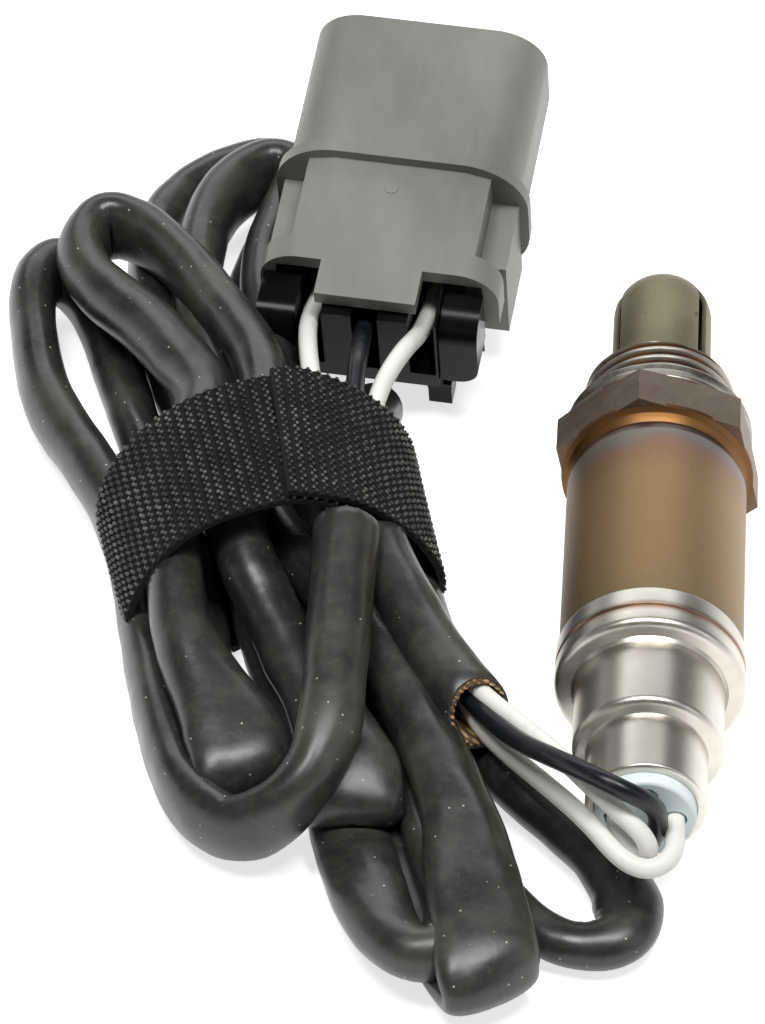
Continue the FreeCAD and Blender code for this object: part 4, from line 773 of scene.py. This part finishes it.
# Each row is u, d, z and the section's width and height.
sleeveRoute = [
    (7.3, -11.2, 18.9, 7.9, 7.6), (6.0, -15.0, 18.3, 7.9, 7.4), (4.2, -21.6, 17.4, 7.8, 7.2),
    (2.2, -29.8, 16.2, 7.6, 7.2), (-0.6, -39.4, 14.6, 7.2, 7.4), (-4.6, -44.6, 10.8, 6.6, 8.2),
    (-11.4, -45.0, 5.8, 6.2, 9.0), (-15.4, -41.0, 5.0, 5.8, 9.0), (-17.8, -33.6, 4.9, 5.4, 8.8),
    (-17.7, -23.6, 4.8, 5.2, 8.6), (-17.4, -14.8, 4.8, 5.2, 8.0), (-16.8, -6.5, 5.0, 5.6, 7.2),
    (-15.8, 5.0, 5.0, 5.8, 7.0),
    (-16.6, 16.7, 5.2, 6.6, 8.0), (-21.2, 32.5, 5.2, 6.4, 8.6), (-20.8, 45.6, 6.0, 6.0, 8.6),
    (-19.4, 53.4, 7.0, 5.8, 9.0), (-15.8, 57.0, 6.4, 5.8, 9.4), (-12.6, 52.8, 4.6, 6.0, 8.6),
    (-11.6, 46.4, 3.8, 6.4, 7.0), (-11.4, 40.0, 3.8, 6.4, 6.8), (-11.2, 32.1, 4.2, 6.2, 7.0),
    (-10.8, 22.0, 5.0, 6.0, 7.6), (-9.8, 8.0, 5.0, 6.0, 6.8),
    (-9.4, -6.0, 4.8, 6.4, 6.2), (-11.4, -15.0, 4.2, 8.0, 5.6), (-12.2, -24.0, 3.8, 9.6, 4.6),
    (-11.2, -31.0, 3.4, 10.8, 4.2), (-10.2, -37.4, 4.0, 11.8, 4.4), (-10.0, -37.6, 8.4, 12.2, 4.6),
    (-10.4, -32.0, 9.6, 12.0, 5.4), (-12.0, -25.5, 10.2, 9.2, 6.8), (-13.4, -18.6, 11.4, 7.4, 7.6),
    (-13.4, -11.9, 12.8, 6.6, 7.6), (-11.8, -4.0, 14.4, 6.0, 6.8),
    (-8.0, 8.0, 16.8, 6.2, 6.6),
    (-3.8, 17.6, 16.0, 7.0, 7.2), (-5.0, 26.2, 14.6, 7.4, 7.4), (-8.8, 37.0, 13.2, 7.0, 7.8),
    (-13.2, 46.4, 12.2, 6.2, 8.4), (-13.7, 52.8, 12.2, 5.8, 9.2), (-9.6, 57.2, 12.4, 5.6, 9.6),
    (-5.0, 53.8, 12.8, 5.4, 9.2), (-1.4, 45.0, 13.9, 5.6, 8.6), (1.2, 34.0, 15.3, 6.2, 8.0),
    (4.2, 20.0, 16.6, 6.6, 7.2),
    (0.0, 7.0, 16.8, 6.2, 6.6),
    (-5.0, -4.3, 16.0, 6.6, 7.0), (-3.9, -12.6, 13.4, 7.0, 7.4), (-2.0, -20.6, 11.0, 7.2, 7.0),
    (-0.2, -28.4, 10.0, 8.0, 6.2), (1.0, -35.4, 9.8, 9.8, 5.4), (1.4, -41.0, 9.6, 11.6, 4.6),
    (1.0, -45.8, 7.4, 12.0, 4.4), (0.4, -42.4, 5.4, 12.0, 4.2), (-0.6, -34.4, 5.0, 9.4, 4.4),
    (-1.4, -26.0, 4.6, 7.4, 5.2), (-2.8, -15.0, 4.8, 6.8, 6.2),
    (-3.2, 0.0, 5.0, 6.0, 6.6),
    (-4.2, 18.0, 5.0, 6.0, 7.6), (-5.2, 34.0, 4.8, 6.0, 8.4), (-5.0, 49.0, 4.9, 6.0, 8.8),
    (-3.4, 60.2, 5.0, 6.0, 9.2), (1.2, 67.4, 5.1, 6.0, 9.4), (8.0, 71.2, 5.1, 5.8, 9.6),
    (15.4, 72.8, 5.0, 6.0, 9.0), (18.6, 68.6, 4.8, 6.0, 8.4), (14.6, 61.8, 4.4, 6.0, 7.2),
    (8.4, 53.0, 4.2, 6.2, 6.8), (5.4, 44.0, 4.0, 6.4, 6.6),
    (3.8, 32.0, 4.2, 6.4, 6.6), (3.2, 16.0, 4.8, 6.2, 6.8), (3.2, 2.0, 5.0, 6.0, 6.6),
    (2.6, -12.0, 4.0, 6.8, 5.6), (3.6, -26.0, 2.8, 8.0, 4.2), (4.6, -42.0, 2.2, 9.0, 3.8),
    (6.0, -56.0, 2.3, 9.8, 3.8), (8.8, -67.0, 2.6, 10.8, 4.0), (10.8, -74.2, 4.2, 12.0, 4.2),
    (10.4, -72.0, 8.0, 12.0, 4.4), (11.0, -64.6, 8.5, 11.4, 4.8), (11.8, -56.4, 8.5, 10.0, 5.6),
    (12.0, -47.0, 8.5, 8.4, 6.8), (11.2, -36.6, 8.8, 7.6, 7.4), (9.2, -24.0, 9.8, 7.2, 7.6),
    (5.0, -12.8, 11.0, 6.8, 7.6), (0.6, -3.0, 11.4, 6.2, 6.6),
    (-0.6, 10.0, 11.2, 6.2, 6.6), (-1.0, 26.0, 10.8, 6.0, 7.6), (-0.6, 43.6, 10.4, 6.0, 8.4),
    (2.2, 54.8, 10.4, 6.0, 9.0), (6.6, 62.2, 10.4, 6.0, 9.6), (12.6, 66.2, 10.4, 6.0, 9.6),
    (16.6, 63.4, 10.4, 5.8, 9.0),
    (13.0, 56.6, 10.4, 5.8, 8.4), (9.0, 49.0, 10.4, 5.8, 8.0), (6.8, 38.0, 10.4, 5.8, 7.6),
    (6.0, 24.0, 10.8, 6.0, 7.2), (6.2, 8.0, 11.2, 6.2, 6.6),
    (5.6, -8.0, 8.6, 6.6, 6.2), (4.0, -22.0, 4.6, 7.0, 5.0), (1.8, -34.0, 2.7, 8.0, 4.4),
    (0.6, -45.0, 3.0, 9.4, 5.0), (0.4, -55.0, 4.2, 8.8, 6.4), (0.9, -65.0, 5.6, 7.6, 6.8),
    (5.6, -69.0, 6.2, 6.4, 6.8), (8.4, -61.6, 5.8, 4.8, 6.4), (8.2, -52.0, 5.0, 4.8, 5.6),
    (8.4, -38.0, 3.8, 6.0, 5.0), (9.2, -22.0, 4.2, 6.2, 5.8), (9.6, -6.0, 5.0, 6.0, 6.6),
    (9.8, 8.0, 5.0, 6.0, 6.6), (10.4, 17.0, 4.6, 6.0, 6.4), (13.0, 19.4, 4.4, 5.8, 6.4),
    (15.2, 15.0, 4.6, 5.8, 6.4), (15.6, 4.0, 5.0, 6.0, 6.6),
    (15.8, -12.0, 4.6, 6.6, 7.0), (15.8, -25.0, 4.4, 6.6, 6.6), (17.2, -34.0, 4.2, 6.4, 6.0),
    (20.8, -42.6, 3.8, 6.2, 5.8), (24.2, -48.4, 3.6, 6.4, 5.6), (27.6, -54.8, 3.5, 7.0, 5.6),
    (29.2, -63.2, 3.4, 8.2, 5.8), (26.4, -67.8, 3.0, 6.8, 5.2), (20.2, -67.0, 2.7, 5.4, 4.8),
    (15.0, -58.8, 2.7, 5.6, 4.8), (12.4, -45.4, 3.0, 5.8, 4.6), (12.0, -28.0, 5.2, 6.0, 5.0),
    (12.6, -12.0, 9.0, 6.0, 6.0), (12.8, 4.0, 10.2, 6.0, 6.6),
    (13.6, 12.6, 9.8, 6.0, 6.6), (15.4, 18.4, 9.2, 6.0, 6.8), (17.0, 17.0, 11.8, 6.0, 6.8),
    (13.8, 9.4, 14.2, 6.2, 6.6),
    (11.2, 0.0, 15.6, 6.6, 6.6), (11.2, -12.0, 14.3, 7.0, 7.4), (12.3, -20.2, 12.8, 7.4, 7.5),
    (14.3, -28.5, 12.0, 7.9, 7.8), (16.8, -36.2, 11.8, 8.3, 8.0),
]
# Pleats stand where the tube bends hard, dents are everywhere, and the mouth is cut on the slant.
sleeve = {"steps": 8, "sides": 30, "wall": 0.75, "pleats": 0.5, "pleatPitch": 2.1, "pleatTwist": 0.35,
          "dent": 0.3, "mouthDepth": 9.0, "slant": 0.5, "lead": 1.0, "slantLength": 9.0, "reach": 4,
          "floor": 0.05}
line = lineThrough([fromBundle(*row[:3]) for row in sleeveRoute], sleeve["steps"])
print("sleeve line:", len(line), "points,", round(lineLength(line), 1), "mm")


# Directions of the section at each point: one level across the tube, one standing on it. The first is carried
# along the line and drawn back to level by a share, less where the line is steep.
def sectionFrames(line, pull=0.35, steep=0.05, weak=0.3, span=0.4):
    frames = []
    across = None
    for i in range(len(line)):
        ahead = (line[min(i + 1, len(line) - 1)] - line[max(i - 1, 0)]).normalized()
        level = ahead.cross(Vector((0, 0, 1)))
        strength = level.length
        if across is None:
            across = level.normalized()
        kept = (across - ahead * across.dot(ahead)).normalized()
        if strength > steep:
            level.normalize()
            if level.dot(kept) < 0:
                level.negate()
            kept = kept.lerp(level, limited((strength - weak) / span) * pull)
            kept = (kept - ahead * kept.dot(ahead)).normalized()
        across = kept
        frames.append((ahead, across, across.cross(ahead)))
    return frames


def sizeAt(rows, position):
    index = min(int(position), len(rows) - 2)
    mix = position - index
    return [rows[index][k] * (1 - mix) + rows[index + 1][k] * mix for k in (3, 4)]


def sleeveMesh():
    frames = sectionFrames(line)
    travelled = travelledTo(line)
    last = len(line) - 1
    rings = []
    for i, (point, (ahead, across, standing)) in enumerate(zip(line, frames)):
        slant = max(0.0, 1.0 - (travelled[-1] - travelled[i]) / sleeve["slantLength"]) ** 2
        place = i / last * (len(sleeveRoute) - 2) + 0.5
        wide, tall = sizeAt(sleeveRoute, max(0.0, min(len(sleeveRoute) - 1.001, place)))
        low, high = max(i - sleeve["reach"], 0), min(i + sleeve["reach"], last)
        bend = (frames[high][0] - frames[low][0]) / max(travelled[high] - travelled[low], 0.1)
        tightness = limited((bend.length * 3.8 - 0.35) / 0.6)
        inward = bend.normalized() if bend.length > 1e-6 else Vector((0, 0, 1))
        flatness = limited((wide / tall - 1.25) / 1.2)
        upright = limited((tall / wide - 1.25) / 0.6)
        power = 1.0 - 0.22 * flatness - 0.18 * upright   # a flattened sleeve is plumper than an ellipse
        ring = []
        for k in range(sleeve["sides"]):
            turn = 2 * math.pi * k / sleeve["sides"]
            c, s = math.cos(turn), math.sin(turn)
            x = math.copysign(abs(c) ** power, c) * wide / 2
            y = math.copysign(abs(s) ** (power + 0.1 * flatness), s) * tall / 2
            offset = across * x + standing * y
            inner = max(0.0, offset.normalized().dot(inward))
            wave = 2 * math.pi * travelled[i] / sleeve["pleatPitch"] + k * sleeve["pleatTwist"]
            squeeze = sleeve["pleats"] * tightness * inner ** 2 * (0.9 + 0.45 * math.sin(wave))
            dent = noise.noise((point + offset) * 0.11) + 0.5 * noise.noise((point + offset) * 0.27)
            size = max(0.2, offset.length - squeeze + sleeve["dent"] * dent)
            spot = point + offset.normalized() * size
            spot += ahead * (sleeve["lead"] - sleeve["slant"] * offset.z) * slant
            spot.z = max(spot.z, sleeve["floor"])
            ring.append(spot)
        rings.append((point, ring))

    # A ring at one end, drawn in by an amount and moved along the tube.
    def shrunk(index, amount, shift):
        heart, ring = rings[index]
        moved = frames[index][0] * shift
        spokes = [spot - heart for spot in ring]
        return [heart + spoke * (1 - amount / max(spoke.length, 0.1)) + moved for spoke in spokes]

    wall, lip = sleeve["wall"], 0.12
    depths = (sleeve["mouthDepth"], 6.0, 3.0, 0.0)
    spots = [shrunk(0, wall, depth) for depth in depths]
    spots += [shrunk(0, wall * 0.75, -lip), shrunk(0, lip, -lip)]
    spots += [ring for _, ring in rings]
    spots += [shrunk(-1, lip, lip), shrunk(-1, wall * 0.75, lip)]
    spots += [shrunk(-1, wall, -depth) for depth in depths[::-1]]
    sides = sleeve["sides"]
    faces = ringFaces(len(spots), sides)
    ends = (len(spots) - 1) * sides
    faces += [tuple(range(sides)), tuple(range(ends, ends + sides))]
    return meshFrom("cableSleeve", [spot for ring in spots for spot in ring], faces), frames, rings


mesh, frames, rings = sleeveMesh()
cableSleeve = linkPiece("cableSleeve", mesh, finishes["sleeve"], 70)
finished(cableSleeve, "sleeve", "sleeve_hank")

# Braid that shows inside the cut mouth nearest the sensor, its yarn ends a little proud.
braidLining = {"yarns": 26, "thick": 0.45, "deep": 7.0, "set": 0.6, "swell": 0.07, "proud": 0.16,
               "flat": 0.96}
b = braidLining
heart, ring = rings[-1]
ahead, across, standing = frames[-1]
mouthSize = sum((spot - heart).length for spot in ring) / len(ring) - b["set"]
sides = b["yarns"] * 4
braidRows = [(-b["deep"], 0.98), (-3.0, 0.98), (-0.4, 0.98), (0.05, 0.95), (0.3, 0.55), (0.2, 0.1),
             (-0.5, 0.0), (-3.0, 0.0), (-b["deep"], 0.0)]
points = []
for row, (shift, level) in enumerate(braidRows):
    for k in range(sides):
        turn = 2 * math.pi * k / sides
        yarn = math.sin(turn * b["yarns"] + row * 0.9)
        size = mouthSize - b["thick"] * (1 - level) + b["swell"] * yarn
        lift = shift + (b["proud"] * yarn if -0.5 < shift else 0.0)
        offset = (across * math.cos(turn) + standing * math.sin(turn) * b["flat"]) * size
        lift += sleeve["lead"] - sleeve["slant"] * offset.z
        points.append(heart + ahead * lift + offset)
braidMesh = meshFrom("braidLining", points, ringFaces(len(braidRows), sides, closed=True))
braidMouth = linkPiece("braidLining", braidMesh, finishes["braid"], 60)
finished(braidMouth, "sleeve")

print("sleeve made:", len(cableSleeve.data.polygons), "faces")

# Lead wires, each a smooth curve with its own insulation.
leadWire = {"radius": 1.14, "steps": 12,
            "colour": {"left": "white", "low": "black", "middle": "black", "right": "white"}}
sensorEnds = {
    "left": [(-3.3, -37.9, 12.45), (-3.35, -42.6, 12.5), (-3.2, -47.3, 12.4), (-2.2, -49.6, 11.7),
             (-0.4, -50.9, 11.4), (0.6, -51.4, 12.9), (0.0, -51.2, 14.9), (-2.0, -49.9, 16.3),
             (-5.2, -47.2, 17.4), (-9.3, -41.0, 16.4), (-13.9, -34.4, 14.8), (-18.3, -28.4, 13.2),
             (-21.0, -24.6, 12.8)],
    "low": [(0.0, -37.9, 9.15), (0.05, -42.4, 9.1), (0.1, -46.9, 9.3), (1.0, -47.6, 11.0),
            (1.6, -48.0, 14.3), (0.9, -48.9, 17.8), (-2.2, -49.6, 20.3), (-6.2, -47.6, 20.8),
            (-10.8, -42.6, 18.4), (-15.1, -36.6, 15.0), (-19.3, -29.1, 12.2), (-22.2, -24.0, 11.6)],
    "right": [(3.3, -37.9, 12.45), (3.25, -43.0, 12.4), (3.4, -48.4, 12.5), (3.2, -52.2, 12.8),
              (0.6, -54.1, 12.4), (-2.6, -52.6, 12.6), (-6.4, -48.0, 14.0), (-11.4, -40.6, 12.2),
              (-15.8, -34.2, 10.4), (-19.1, -29.3, 9.6), (-21.4, -24.6, 10.2)],
}
# From the connector's channels at an x of its frame, then down through the bundle.
plugEnds = {
    "left": (-7.6, [(8.4, 18.0, 20.6), (7.4, 8.0, 21.4), (6.8, -2.0, 21.2), (6.2, -9.0, 20.2),
                    (6.6, -15.0, 17.6)]),
    "middle": (-0.7, [(14.8, 18.6, 19.8), (12.8, 12.2, 19.2), (10.6, 3.0, 18.8), (8.6, -6.0, 18.6),
                      (6.6, -15.0, 16.8)]),
    "right": (6.2, [(20.4, 19.4, 18.2), (17.0, 14.8, 18.0), (14.4, 9.6, 17.2), (12.2, 1.0, 17.6),
                    (7.0, -15.0, 16.4)]),
}


def wirePiece(name, points, colour, node):
    data = smoothLine(name, points, leadWire["steps"])
    data.bevel_depth = leadWire["radius"] * mm
    data.bevel_resolution = 4
    data.use_fill_caps = True
    data.materials.append(finishes[colour + "Wire"])
    piece = finished(linkObject(name, data), colour + "_wire", node)
    length = lineLength(lineThrough(points, leadWire["steps"]))
    print(name, round(length, 1), "mm")


for side, route in sensorEnds.items():
    wirePiece("sensorWire_" + side, route, leadWire["colour"][side], "sensor_wire_" + side)
for side, (x, rest) in plugEnds.items():
    route = [fromConnector(x, 11.6, 9.5), fromConnector(x, 5.0, 9.5), fromConnector(x, 0.0, 10.6),
             fromConnector(x - 0.4, -5.0, 12.6)] + [fromBundle(*p) for p in rest]
    wirePiece("plugWire_" + side, route, leadWire["colour"][side], "plug_wire_" + side)

# Strap: one woven band wound round the bundle, its free end lying over its start.
strapBand = {"wide": 20.0, "thick": 0.9, "rowPitch": 1.34, "loopPitch": 0.52, "rib": 0.36, "columns": 10,
             "loopLength": 0.56, "loopWidth": 0.5, "loopHeight": 0.44, "seed": 4}
backEdge = [(2.4, 26.6), (4.6, 26.4), (7.0, 25.6), (12.2, 22.2), (16.5, 17.8), (19.2, 12.8), (19.8, 8.0),
            (18.2, 3.2), (14.0, 0.75), (6.0, 0.6), (-6.0, 0.6), (-14.0, 0.75), (-18.4, 3.4), (-19.2, 8.0),
            (-17.9, 13.2), (-15.5, 17.2), (-12.2, 20.8), (-7.7, 23.6), (-4.0, 24.8), (0.0, 25.4),
            (2.4, 25.4), (5.0, 25.0), (8.0, 23.8), (11.6, 21.2), (15.2, 16.9)]
frontEdge = [(0.6, 25.0), (3.2, 24.2), (6.0, 23.2), (9.0, 21.8), (12.8, 18.6), (16.2, 14.6), (18.9, 9.6),
             (19.5, 5.4), (18.0, 2.0), (14.0, 0.75), (6.0, 0.6), (-6.0, 0.6), (-14.0, 0.75), (-18.4, 3.4),
             (-19.2, 7.4), (-18.4, 11.2), (-15.9, 16.3), (-11.8, 20.4), (-7.0, 22.4), (-3.4, 23.2),
             (0.6, 23.6), (3.2, 23.0), (6.0, 21.9), (10.6, 18.8), (14.4, 14.2)]


def edgeLine(edge, d):
    return lineThrough([fromBundle(u, d, z) for u, z in edge], 10)


def alongLine(line, share):
    lengths = travelledTo(line)
    target = share * lengths[-1]
    for i in range(1, len(lengths)):
        if lengths[i] >= target:
            mix = (target - lengths[i - 1]) / max(lengths[i] - lengths[i - 1], 1e-9)
            return line[i - 1].lerp(line[i], mix)
    return line[-1].copy()


backLine, frontLine = edgeLine(backEdge, strapBand["wide"] / 2), edgeLine(frontEdge, -strapBand["wide"] / 2)
strapLength = (lineLength(backLine) + lineLength(frontLine)) / 2
rowCount = int(strapLength / strapBand["rowPitch"])
print("strap length", round(strapLength, 1), "mm,", rowCount, "rows")


# The band is a grid between its two edges, and its rows run across it.
def bandGrid(rows, columns, lift, rib=0.0):
    grid = []
    edges = [(alongLine(backLine, i / rows), alongLine(frontLine, i / rows)) for i in range(rows + 1)]
    for i, (back, front) in enumerate(edges):
        before, after = edges[max(i - 1, 0)], edges[min(i + 1, rows)]
        onward = after[0] - before[0] + after[1] - before[1]
        normal = (front - back).cross(onward).normalized()
        height = lift + rib * math.sin(math.pi * i / 4) ** 2
        row = [back.lerp(front, j / columns) + normal * height for j in range(columns + 1)]
        grid.append((row, normal, (front - back).normalized(), onward.normalized()))
    return grid


b = strapBand
columns, gridRows = b["columns"], rowCount * 4
outerGrid = bandGrid(gridRows, columns, -b["rib"], b["rib"])
innerGrid = bandGrid(gridRows, columns, -b["thick"])
points = [p for row in outerGrid + innerGrid for p in row[0]]
width = columns + 1
total = len(outerGrid) * width
faces = []
for i in range(gridRows):
    for j in range(columns):
        a = i * width + j
        faces.append((a, a + 1, a + 1 + width, a + width))
        faces.append((total + a, total + a + width, total + a + 1 + width, total + a + 1))
    for a in (i * width, i * width + columns):
        faces.append((a, a + width, total + a + width, total + a))
for i in (0, gridRows):
    for a in range(i * width, i * width + columns):
        faces.append((a, a + 1, total + a + 1, total + a))
cableStrap = linkPiece("cableStrap", meshFrom("cableStrap", points, faces), finishes["strap"], 50)
finished(cableStrap, "strap", "cable_strap")

# Raised loops of the weave: one small bead for each, set in rows across the band.
acrossCount = int(b["wide"] / b["loopPitch"])
loopRows = bandGrid(rowCount, acrossCount, 0.0)
points, ways = [], []
for i, (row, normal, sideways, onward) in enumerate(loopRows[:-1]):
    for j in range(acrossCount):
        shift = onward * (b["rowPitch"] * (0.64 if j % 2 else 0.36))
        points.append(row[j].lerp(row[j + 1], 0.5) + shift)
        ways.append((normal, sideways))
loopMesh = bpy.data.meshes.new("strapLoops")
loopMesh.from_pydata([p * mm for p in points], [], [])
for title, pick in (("standing", 0), ("sideways", 1)):
    attribute = loopMesh.attributes.new(title, "FLOAT_VECTOR", "POINT")
    for i, pair in enumerate(ways):
        attribute.data[i].vector = pair[pick]
strapLoops = linkObject("strapLoops", loopMesh)

tree = bpy.data.node_groups.new("wovenLoops", "GeometryNodeTree")
tree.interface.new_socket("Geometry", in_out="INPUT", socket_type="NodeSocketGeometry")
inputs = {}
for title, key in (("Loop length", "loopLength"), ("Loop width", "loopWidth"), ("Loop height", "loopHeight"),
                   ("Seed", "seed")):
    kind = "NodeSocketInt" if key == "seed" else "NodeSocketFloat"
    made = tree.interface.new_socket(title, in_out="INPUT", socket_type=kind)
    made.default_value = b[key]
    inputs[key] = made.identifier
tree.interface.new_socket("Geometry", in_out="OUTPUT", socket_type="NodeSocketGeometry")
source = addNode(tree, "NodeGroupInput").node.outputs
bead = addNode(tree, "GeometryNodeMeshIcoSphere", {"Radius": 0.5 * mm, "Subdivisions": 1}, "Mesh")
standing = addNode(tree, "GeometryNodeInputNamedAttribute", {"Name": "standing"}, data_type="FLOAT_VECTOR")
sideways = addNode(tree, "GeometryNodeInputNamedAttribute", {"Name": "sideways"}, data_type="FLOAT_VECTOR")
upright = addNode(tree, "FunctionNodeAlignRotationToVector", {"Vector": standing}, axis="Z")
turnedWay = addNode(tree, "FunctionNodeAlignRotationToVector", {"Rotation": upright, "Vector": sideways},
                    axis="X", pivot_axis="Z")
scatter = addNode(tree, "FunctionNodeRandomValue", {2: 0.82, 3: 1.15, "Seed": source["Seed"]}, 1,
                  data_type="FLOAT")
shape = addNode(tree, "CombineXYZ", {
    0: source["Loop length"], 1: source["Loop width"], 2: source["Loop height"]})
scaled = addNode(tree, "VectorMath", {0: shape, "Scale": scatter}, operation="SCALE")
placed = addNode(tree, "GeometryNodeInstanceOnPoints", {
    "Points": source["Geometry"], "Instance": bead, "Rotation": turnedWay, "Scale": scaled})
solid = addNode(tree, "GeometryNodeRealizeInstances", {0: placed})
smooth = addNode(tree, "GeometryNodeSetShadeSmooth", {0: solid})
coloured = addNode(tree, "GeometryNodeSetMaterial", {0: smooth, "Material": finishes["loops"]})
addNode(tree, "NodeGroupOutput", {0: coloured})
weave = strapLoops.modifiers.new("weave", "NODES")
weave.node_group = tree
for key, identifier in inputs.items():
    weave[identifier] = b[key]
finished(applied(strapLoops), "strap")
print("strap made:", len(strapLoops.data.polygons), "loop faces")

# Every CAD node that still shows gets its own finish.
cadFinishes = {
    "tube": ["guard_tube"], "hex": ["threaded_housing"], "shell": ["rear_shell"], "gasket": ["gasket_ring"],
    "tip": ["protection_tube", "inner_tube"], "grommet": ["cable_grommet"], "talc": ["seal_packing"],
    "inner": ["thimble_seal_ring", "disc_spring", "contact_clip"],
    "ceramic": ["sensing_thimble", "pressing_bush", "heater_rod", "rear_insulator"],
    "contact": ["lead_ferrule_left", "lead_ferrule_low", "lead_ferrule_right", "blade_terminal_1",
                "blade_terminal_2", "blade_terminal_3"],
    "seal": ["wire_seal_1", "wire_seal_2", "wire_seal_3"],
    "whiteWire": ["sensor_wire_left", "sensor_wire_right", "plug_wire_left", "plug_wire_right"],
    "blackWire": ["sensor_wire_low", "plug_wire_middle"], "connector": ["connector_housing"],
    "retainer": ["rear_retainer"], "sleeve": ["sleeve_hank"], "strap": ["cable_strap"],
}
for finish, names in cadFinishes.items():
    for name in names:
        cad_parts[name].data.materials.clear()
        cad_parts[name].data.materials.append(finishes[finish])

# Camera, lamps and floor
view = {"place": (-1.57, -546.53, 508.93), "turn": (47.98, 0.0, 3.18), "lens": 221.6, "sensor": 36.0,
        "near": 10.0}
camera = linkObject("camera", bpy.data.cameras.new("camera"))
camera.location = Vector(view["place"]) * mm
camera.rotation_euler = [math.radians(a) for a in view["turn"]]
camera.data.lens = view["lens"]
camera.data.sensor_width = view["sensor"]
camera.data.clip_start = view["near"] * mm
bpy.context.scene.camera = camera

# Places and sizes in metres. Every lamp faces the middle of the object.
lamps = [
    {"name": "windowLeft", "place": (-0.24, -0.15, 0.95), "size": (0.18, 0.36), "power": 4.6},
    {"name": "windowRight", "place": (0.16, -0.15, 0.95), "size": (0.18, 0.36), "power": 4.6},
    {"name": "backWindow", "place": (-0.1, 0.75, 0.55), "size": (0.9, 0.35), "power": 2.4},
    {"name": "sideFill", "place": (0.8, -0.3, 0.5), "size": (0.5, 0.5), "power": 0.8},
]
for lamp in lamps:
    data = bpy.data.lights.new(lamp["name"], "AREA")
    data.shape = "RECTANGLE"
    data.size, data.size_y = lamp["size"]
    data.energy = lamp["power"]
    item = linkObject(lamp["name"], data)
    item.location = lamp["place"]
    item.rotation_euler = (Vector((-0.03, 0.0, 0.0)) - item.location).to_track_quat("-Z", "Y").to_euler()


# 1 for the rays by which the camera, metal and glass see the background.
def seenRay(tree):
    rays = addNode(tree, "LightPath").node.outputs
    seen = addNode(tree, "Math", {0: rays["Is Camera Ray"], 1: rays["Is Glossy Ray"]}, operation="MAXIMUM")
    return addNode(tree, "Math", {0: seen, 1: rays["Is Transmission Ray"]}, operation="MAXIMUM")


# The room lights the object at a plain level. What is seen is a white backdrop, up to 8 degrees above the
# floor, with a dim room above it.
studio = {"ambient": 0.3, "white": 1.0, "paper": (0.8, 0.8, 0.8, 1), "glow": 0.7, "half": 3}
world = bpy.context.scene.world or bpy.data.worlds.new("studio")
bpy.context.scene.world = world
world.use_nodes = True
tree = world.node_tree
tree.nodes.clear()
height = addNode(tree, "SeparateXYZ", {0: addNode(tree, "TexCoord", out="Generated")}, 2)
rise = addNode(tree, "MapRange", {0: height, 1: -0.1, 2: 1.0})
sky = addNode(tree, "ValToRGB", {0: rise}, stops=[
    (0.0, "#f2f2f2"), (0.25, "#c4c4c4"), (0.6, "#8c8c8c"), (1.0, "#b4b4b4")])
room = addNode(tree, "ValToRGB", {0: rise}, stops=[
    (0.0, "#ffffff"), (0.22, "#ffffff"), (0.34, "#747474"), (0.6, "#505050"), (1.0, "#696969")])
ambient = addNode(tree, "Background", {"Color": sky, "Strength": studio["ambient"]})
plain = addNode(tree, "Background", {"Color": room, "Strength": studio["white"]})
addNode(tree, "OutputWorld", {0: addNode(tree, "MixShader", {0: seenRay(tree), 1: ambient, 2: plain})})

# Pale paper that keeps the object's shadow. Its glow is only for the rays that see the background.
floorMaterial = bpy.data.materials.new("paleFloor")
floorMaterial.use_nodes = True
tree = floorMaterial.node_tree
tree.nodes.clear()
paper = addNode(tree, "BsdfDiffuse", {"Color": studio["paper"]})
share = addNode(tree, "Math", {0: seenRay(tree), 1: studio["glow"]}, operation="MULTIPLY")
glow = addNode(tree, "Emission", {"Color": "#ffffff", "Strength": share})
addNode(tree, "OutputMaterial", {0: addNode(tree, "AddShader", {0: paper, 1: glow})})
half = studio["half"]
floorMesh = bpy.data.meshes.new("floor")
corners = [(-half, -half, 0), (half, -half, 0), (half, half, 0), (-half, half, 0)]
floorMesh.from_pydata(corners, [], [(0, 1, 2, 3)])
floorMesh.materials.append(floorMaterial)
linkObject("floor", floorMesh)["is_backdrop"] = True

bpy.context.scene.view_settings.view_transform = "Standard"
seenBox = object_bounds()
for title, box in (("solids", cadBox), ("scene", seenBox)):
    print(title, "from and to, mm:", [[round(v / mm, 1) for v in c] for c in box])
